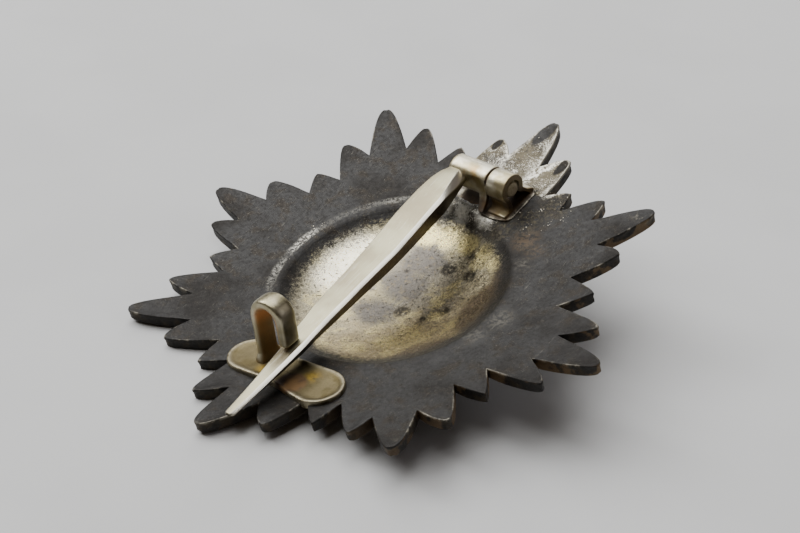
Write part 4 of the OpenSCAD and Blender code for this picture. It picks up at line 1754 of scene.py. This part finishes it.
@dataclass(frozen=True)
class SolderedBase:
    """Strip soldered to the star: grainy solder over its outside, painted shade in soot colours where the
    legs shade it.
    """

    name: str = "silver_strip_soldered"
    solder: str = "908a7b"
    lead: str = "4f4b44"
    soot: str = "4a3a28"
    orange: str = "6b5330"

    def build(self) -> bpy.types.Material:
        """Builds the material."""
        s = Shader(self.name)
        place = s.place(HINGE.frame())
        middle = s.add(NOISE, place, 1.1, 4.0, 0.6)
        grain = s.add(NOISE, place, 6.0, 3.0, 0.8)
        x, y = s.add(X, place), s.add(Y, place)
        shaded = s.add(SPAN, s.add(SIZE, s.chain(PLUS, x, 0.2)), 2.5, 1.9)
        shaded = s.chain(TIMES, shaded, s.add(SPAN, y, -4.4, -3.6), s.add(SPAN, y, 2.8, 2.3))
        grains = s.chain(PLUS, middle, s.chain(TIMES, grain, 0.5))
        outside = s.add(MIX, s.add(SPAN, grains, 0.68, 0.82), self.lead, self.solder)
        inside = s.add(MIX, s.chain(TIMES, s.add(SPAN, middle, 0.5, 0.68), 0.7), self.soot, self.orange)
        colour = s.add(MIX, shaded, outside, inside)
        rough = s.add(MIX, shaded, s.add(SPAN, grain, 0.35, 0.7, 0.3, 0.46), grey_level(0.6))
        metal = s.add(SPAN, shaded, 0.0, 1.0, 1.0, 0.4)
        return s.close(colour, metal, rough, s.add(BUMP, grain, 0.02 * MM))


@dataclass(frozen=True)
class BrightSolder:
    """Solder set in small beads: bare pale metal that glints."""

    name: str = "silver_solder_bright"
    bare: str = "c9c3b2"
    dull: str = "7c776c"

    def build(self) -> bpy.types.Material:
        """Builds the material."""
        s = Shader(self.name)
        patch = s.add(NOISE, s.place(), 1.7, 2.0)
        colour = s.add(MIX, s.add(SPAN, patch, 0.42, 0.6), self.bare, self.dull)
        return s.close(colour, 1.0, 0.34)


@dataclass(frozen=True)
class PaperFloor:
    """Matt pale card that the badge lies on."""

    name: str = "card_pale_matt"
    base: str = "d0d0cf"
    grey: str = "cdcdcc"

    def build(self) -> bpy.types.Material:
        """Builds the material."""
        s = Shader(self.name)
        place = s.place(Matrix.Scale(MM, 4))
        fibre = s.add(NOISE, place, 0.9, 4.0, 0.7)
        colour = s.add(MIX, s.add(SPAN, s.add(NOISE, place, 0.05, 2.0), 0.4, 0.6), self.base, self.grey)
        return s.close(colour, 0.0, 0.9, s.add(BUMP, fibre, 0.006 * MM))


# Setting


@dataclass
class Setting:
    """Floor, lights and camera."""

    floor_size: float = 3.0
    # Camera in the star's frame, in millimetres
    eye: Point = (17.29, -124.22, 98.07)
    right: Point = (0.9799, -0.0289, -0.1976)
    up: Point = (0.1716, 0.6279, 0.7591)
    focal_px: float = 1699.8
    image_w: int = 800
    sensor_mm: float = 36.0
    clip: Flat = (0.005, 20.0)
    # Name, place in metres, side in metres, power in watts and tint; all look to the origin
    lights: tuple[tuple[str, Point, float, float, str], ...] = (
        ("window", (-0.262, 0.3, 0.8), 1.05, 14.2, "fdfeff"),
        ("side_window", (-0.6, 0.3, 0.58), 0.36, 2.4, "fdfeff"),
        ("back_window", (0.2, 0.8, 0.36), 0.36, 1.6, "fdfeff"),
        ("fill", (0.78, -0.1, 0.54), 0.4, 0.7, "f6f4ff"),
    )
    sky_tint: str = "dcc3a8"
    sky_power: float = 0.08

    def camera(self) -> bpy.types.Object:
        """Makes the camera at the picture's viewpoint."""
        data = bpy.data.cameras.new("camera")
        data.sensor_width = self.sensor_mm
        data.lens = self.focal_px / self.image_w * self.sensor_mm
        data.clip_start, data.clip_end = self.clip
        made = bpy.data.objects.new("camera", data)
        turn = REST.to_3x3().normalized()
        right = (turn @ Vector(self.right)).normalized()
        back = right.cross(turn @ Vector(self.up)).normalized()
        spin = Matrix((right, back.cross(right), back)).transposed()
        made.matrix_world = Matrix.Translation(REST @ Vector(self.eye)) @ spin.to_4x4()
        bpy.context.scene.collection.objects.link(made)
        bpy.context.scene.camera = made
        return made

    def floor(self) -> bpy.types.Object:
        """Makes the floor."""
        h = self.floor_size / 2
        corners = [(-h, -h, 0), (h, -h, 0), (h, h, 0), (-h, h, 0)]
        made = make_object("floor", corners, [(0, 1, 2, 3)], Matrix.Identity(4))
        made.data.materials.append(PaperFloor().build())
        return made

    def light(self, name: str, place: Point, size: float, power: float, tint: str) -> None:
        """Adds a square soft light that looks to the origin.

        Args:
            name: Name of the light.
            place: Where it hangs, in metres.
            size: Its side, in metres.
            power: Its power, in watts.
            tint: Its colour, as hex digits.
        """
        data = bpy.data.lights.new(name, "AREA")
        data.shape, data.size, data.energy = "SQUARE", size, power
        data.color = linear(tint)[:3]
        made = bpy.data.objects.new(name, data)
        made.location = place
        made.rotation_euler = (-Vector(place)).to_track_quat("-Z", "Y").to_euler()
        bpy.context.scene.collection.objects.link(made)

    def sky(self) -> None:
        """Sets the even light of the room."""
        world = bpy.data.worlds.new("room")
        world.use_nodes = True
        background = world.node_tree.nodes["Background"]
        background.inputs[0].default_value = linear(self.sky_tint)
        background.inputs[1].default_value = self.sky_power
        bpy.context.scene.world = world

    def build(self) -> None:
        """Builds the whole setting."""
        self.camera()
        self.floor()
        for row in self.lights:
            self.light(*row)
        self.sky()


def main() -> None:
    """Builds the badge and its setting."""
    logging.basicConfig(level=logging.INFO, format="%(name)s: %(message)s")
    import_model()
    Setting().build()
    bracket = WornGilt(
        "silver_gilt_bracket", HINGE.frame(), kept=(((1.6, 1.9, -2.1), 0.7), ((-2.4, 1.6, -1.4), 0.9)),
        soot_shade_from=-0.2, soot_shade_to=-1.1, gap=0.0, end=HINGE.bracket_len - 0.12, soot="4a3a26", orange="7a6438",
    ).build()
    knuckle = WornGilt(
        "silver_gilt_knuckle", HINGE.frame(), stains=(((0.9, -1.6, 1.2), 1.3), ((0.8, -2.6, 1.0), 0.8)),
        soot_shade_from=-0.35, soot_shade_to=-1.5, gap=0.0, soot="33251a", orange="5d4222",
    ).build()
    rivet = WornGilt(
        "silver_gilt_rivet", HINGE.frame(), soot_shade_from=-2.0, soot_shade_to=-3.0, end=HINGE.bracket_len - 0.11,
        dusky="a09270", dull="b8ab8a",
    ).build()
    hook = WornGilt(
        "silver_gilt_hook", CATCH.frame(), soot_shade_from=0.9, soot_shade_to=0.2, pale="aaa38c", gold="989074",
        soot="7d6230", orange="d8924c", patchy=0.15, glow=(3.8, 5.9),
    ).build()
    # The foot's shade spot is a painted shadow cast by the blade
    foot = WornGilt(
        "silver_gilt_foot", CATCH.frame(), stains=(((-0.9, 2.6, 0.4), 1.3), ((0.3, -2.0, 0.4), 1.2)),
        shade_spots=(((0.7, 1.5, 0.4), 1.7),), soot_shade_from=-0.5, soot_shade_to=-1.0, pale="6d6349", gold="5d5338",
        rim="98907a", stain="a08438", soot="3d2814", rough=(0.4, 0.55),
    ).build()
    plate = StarPlate().build()
    plate.data.materials.append(TarnishedSilver().build())
    pieces = [
        plate,
        SolderGrains().build(plate, BrightSolder().build()),
        *Bracket().build(bracket, SolderedBase().build()),
        Rivet().build(rivet),
        *PinBlade().build(RubbedSilver().build(), knuckle),
        *Catch().build(hook, foot),
    ]
    for piece in pieces:
        LOG.info("%s: %d points", piece.name, len(piece.data.vertices))


if __name__ == "__main__":
    main()
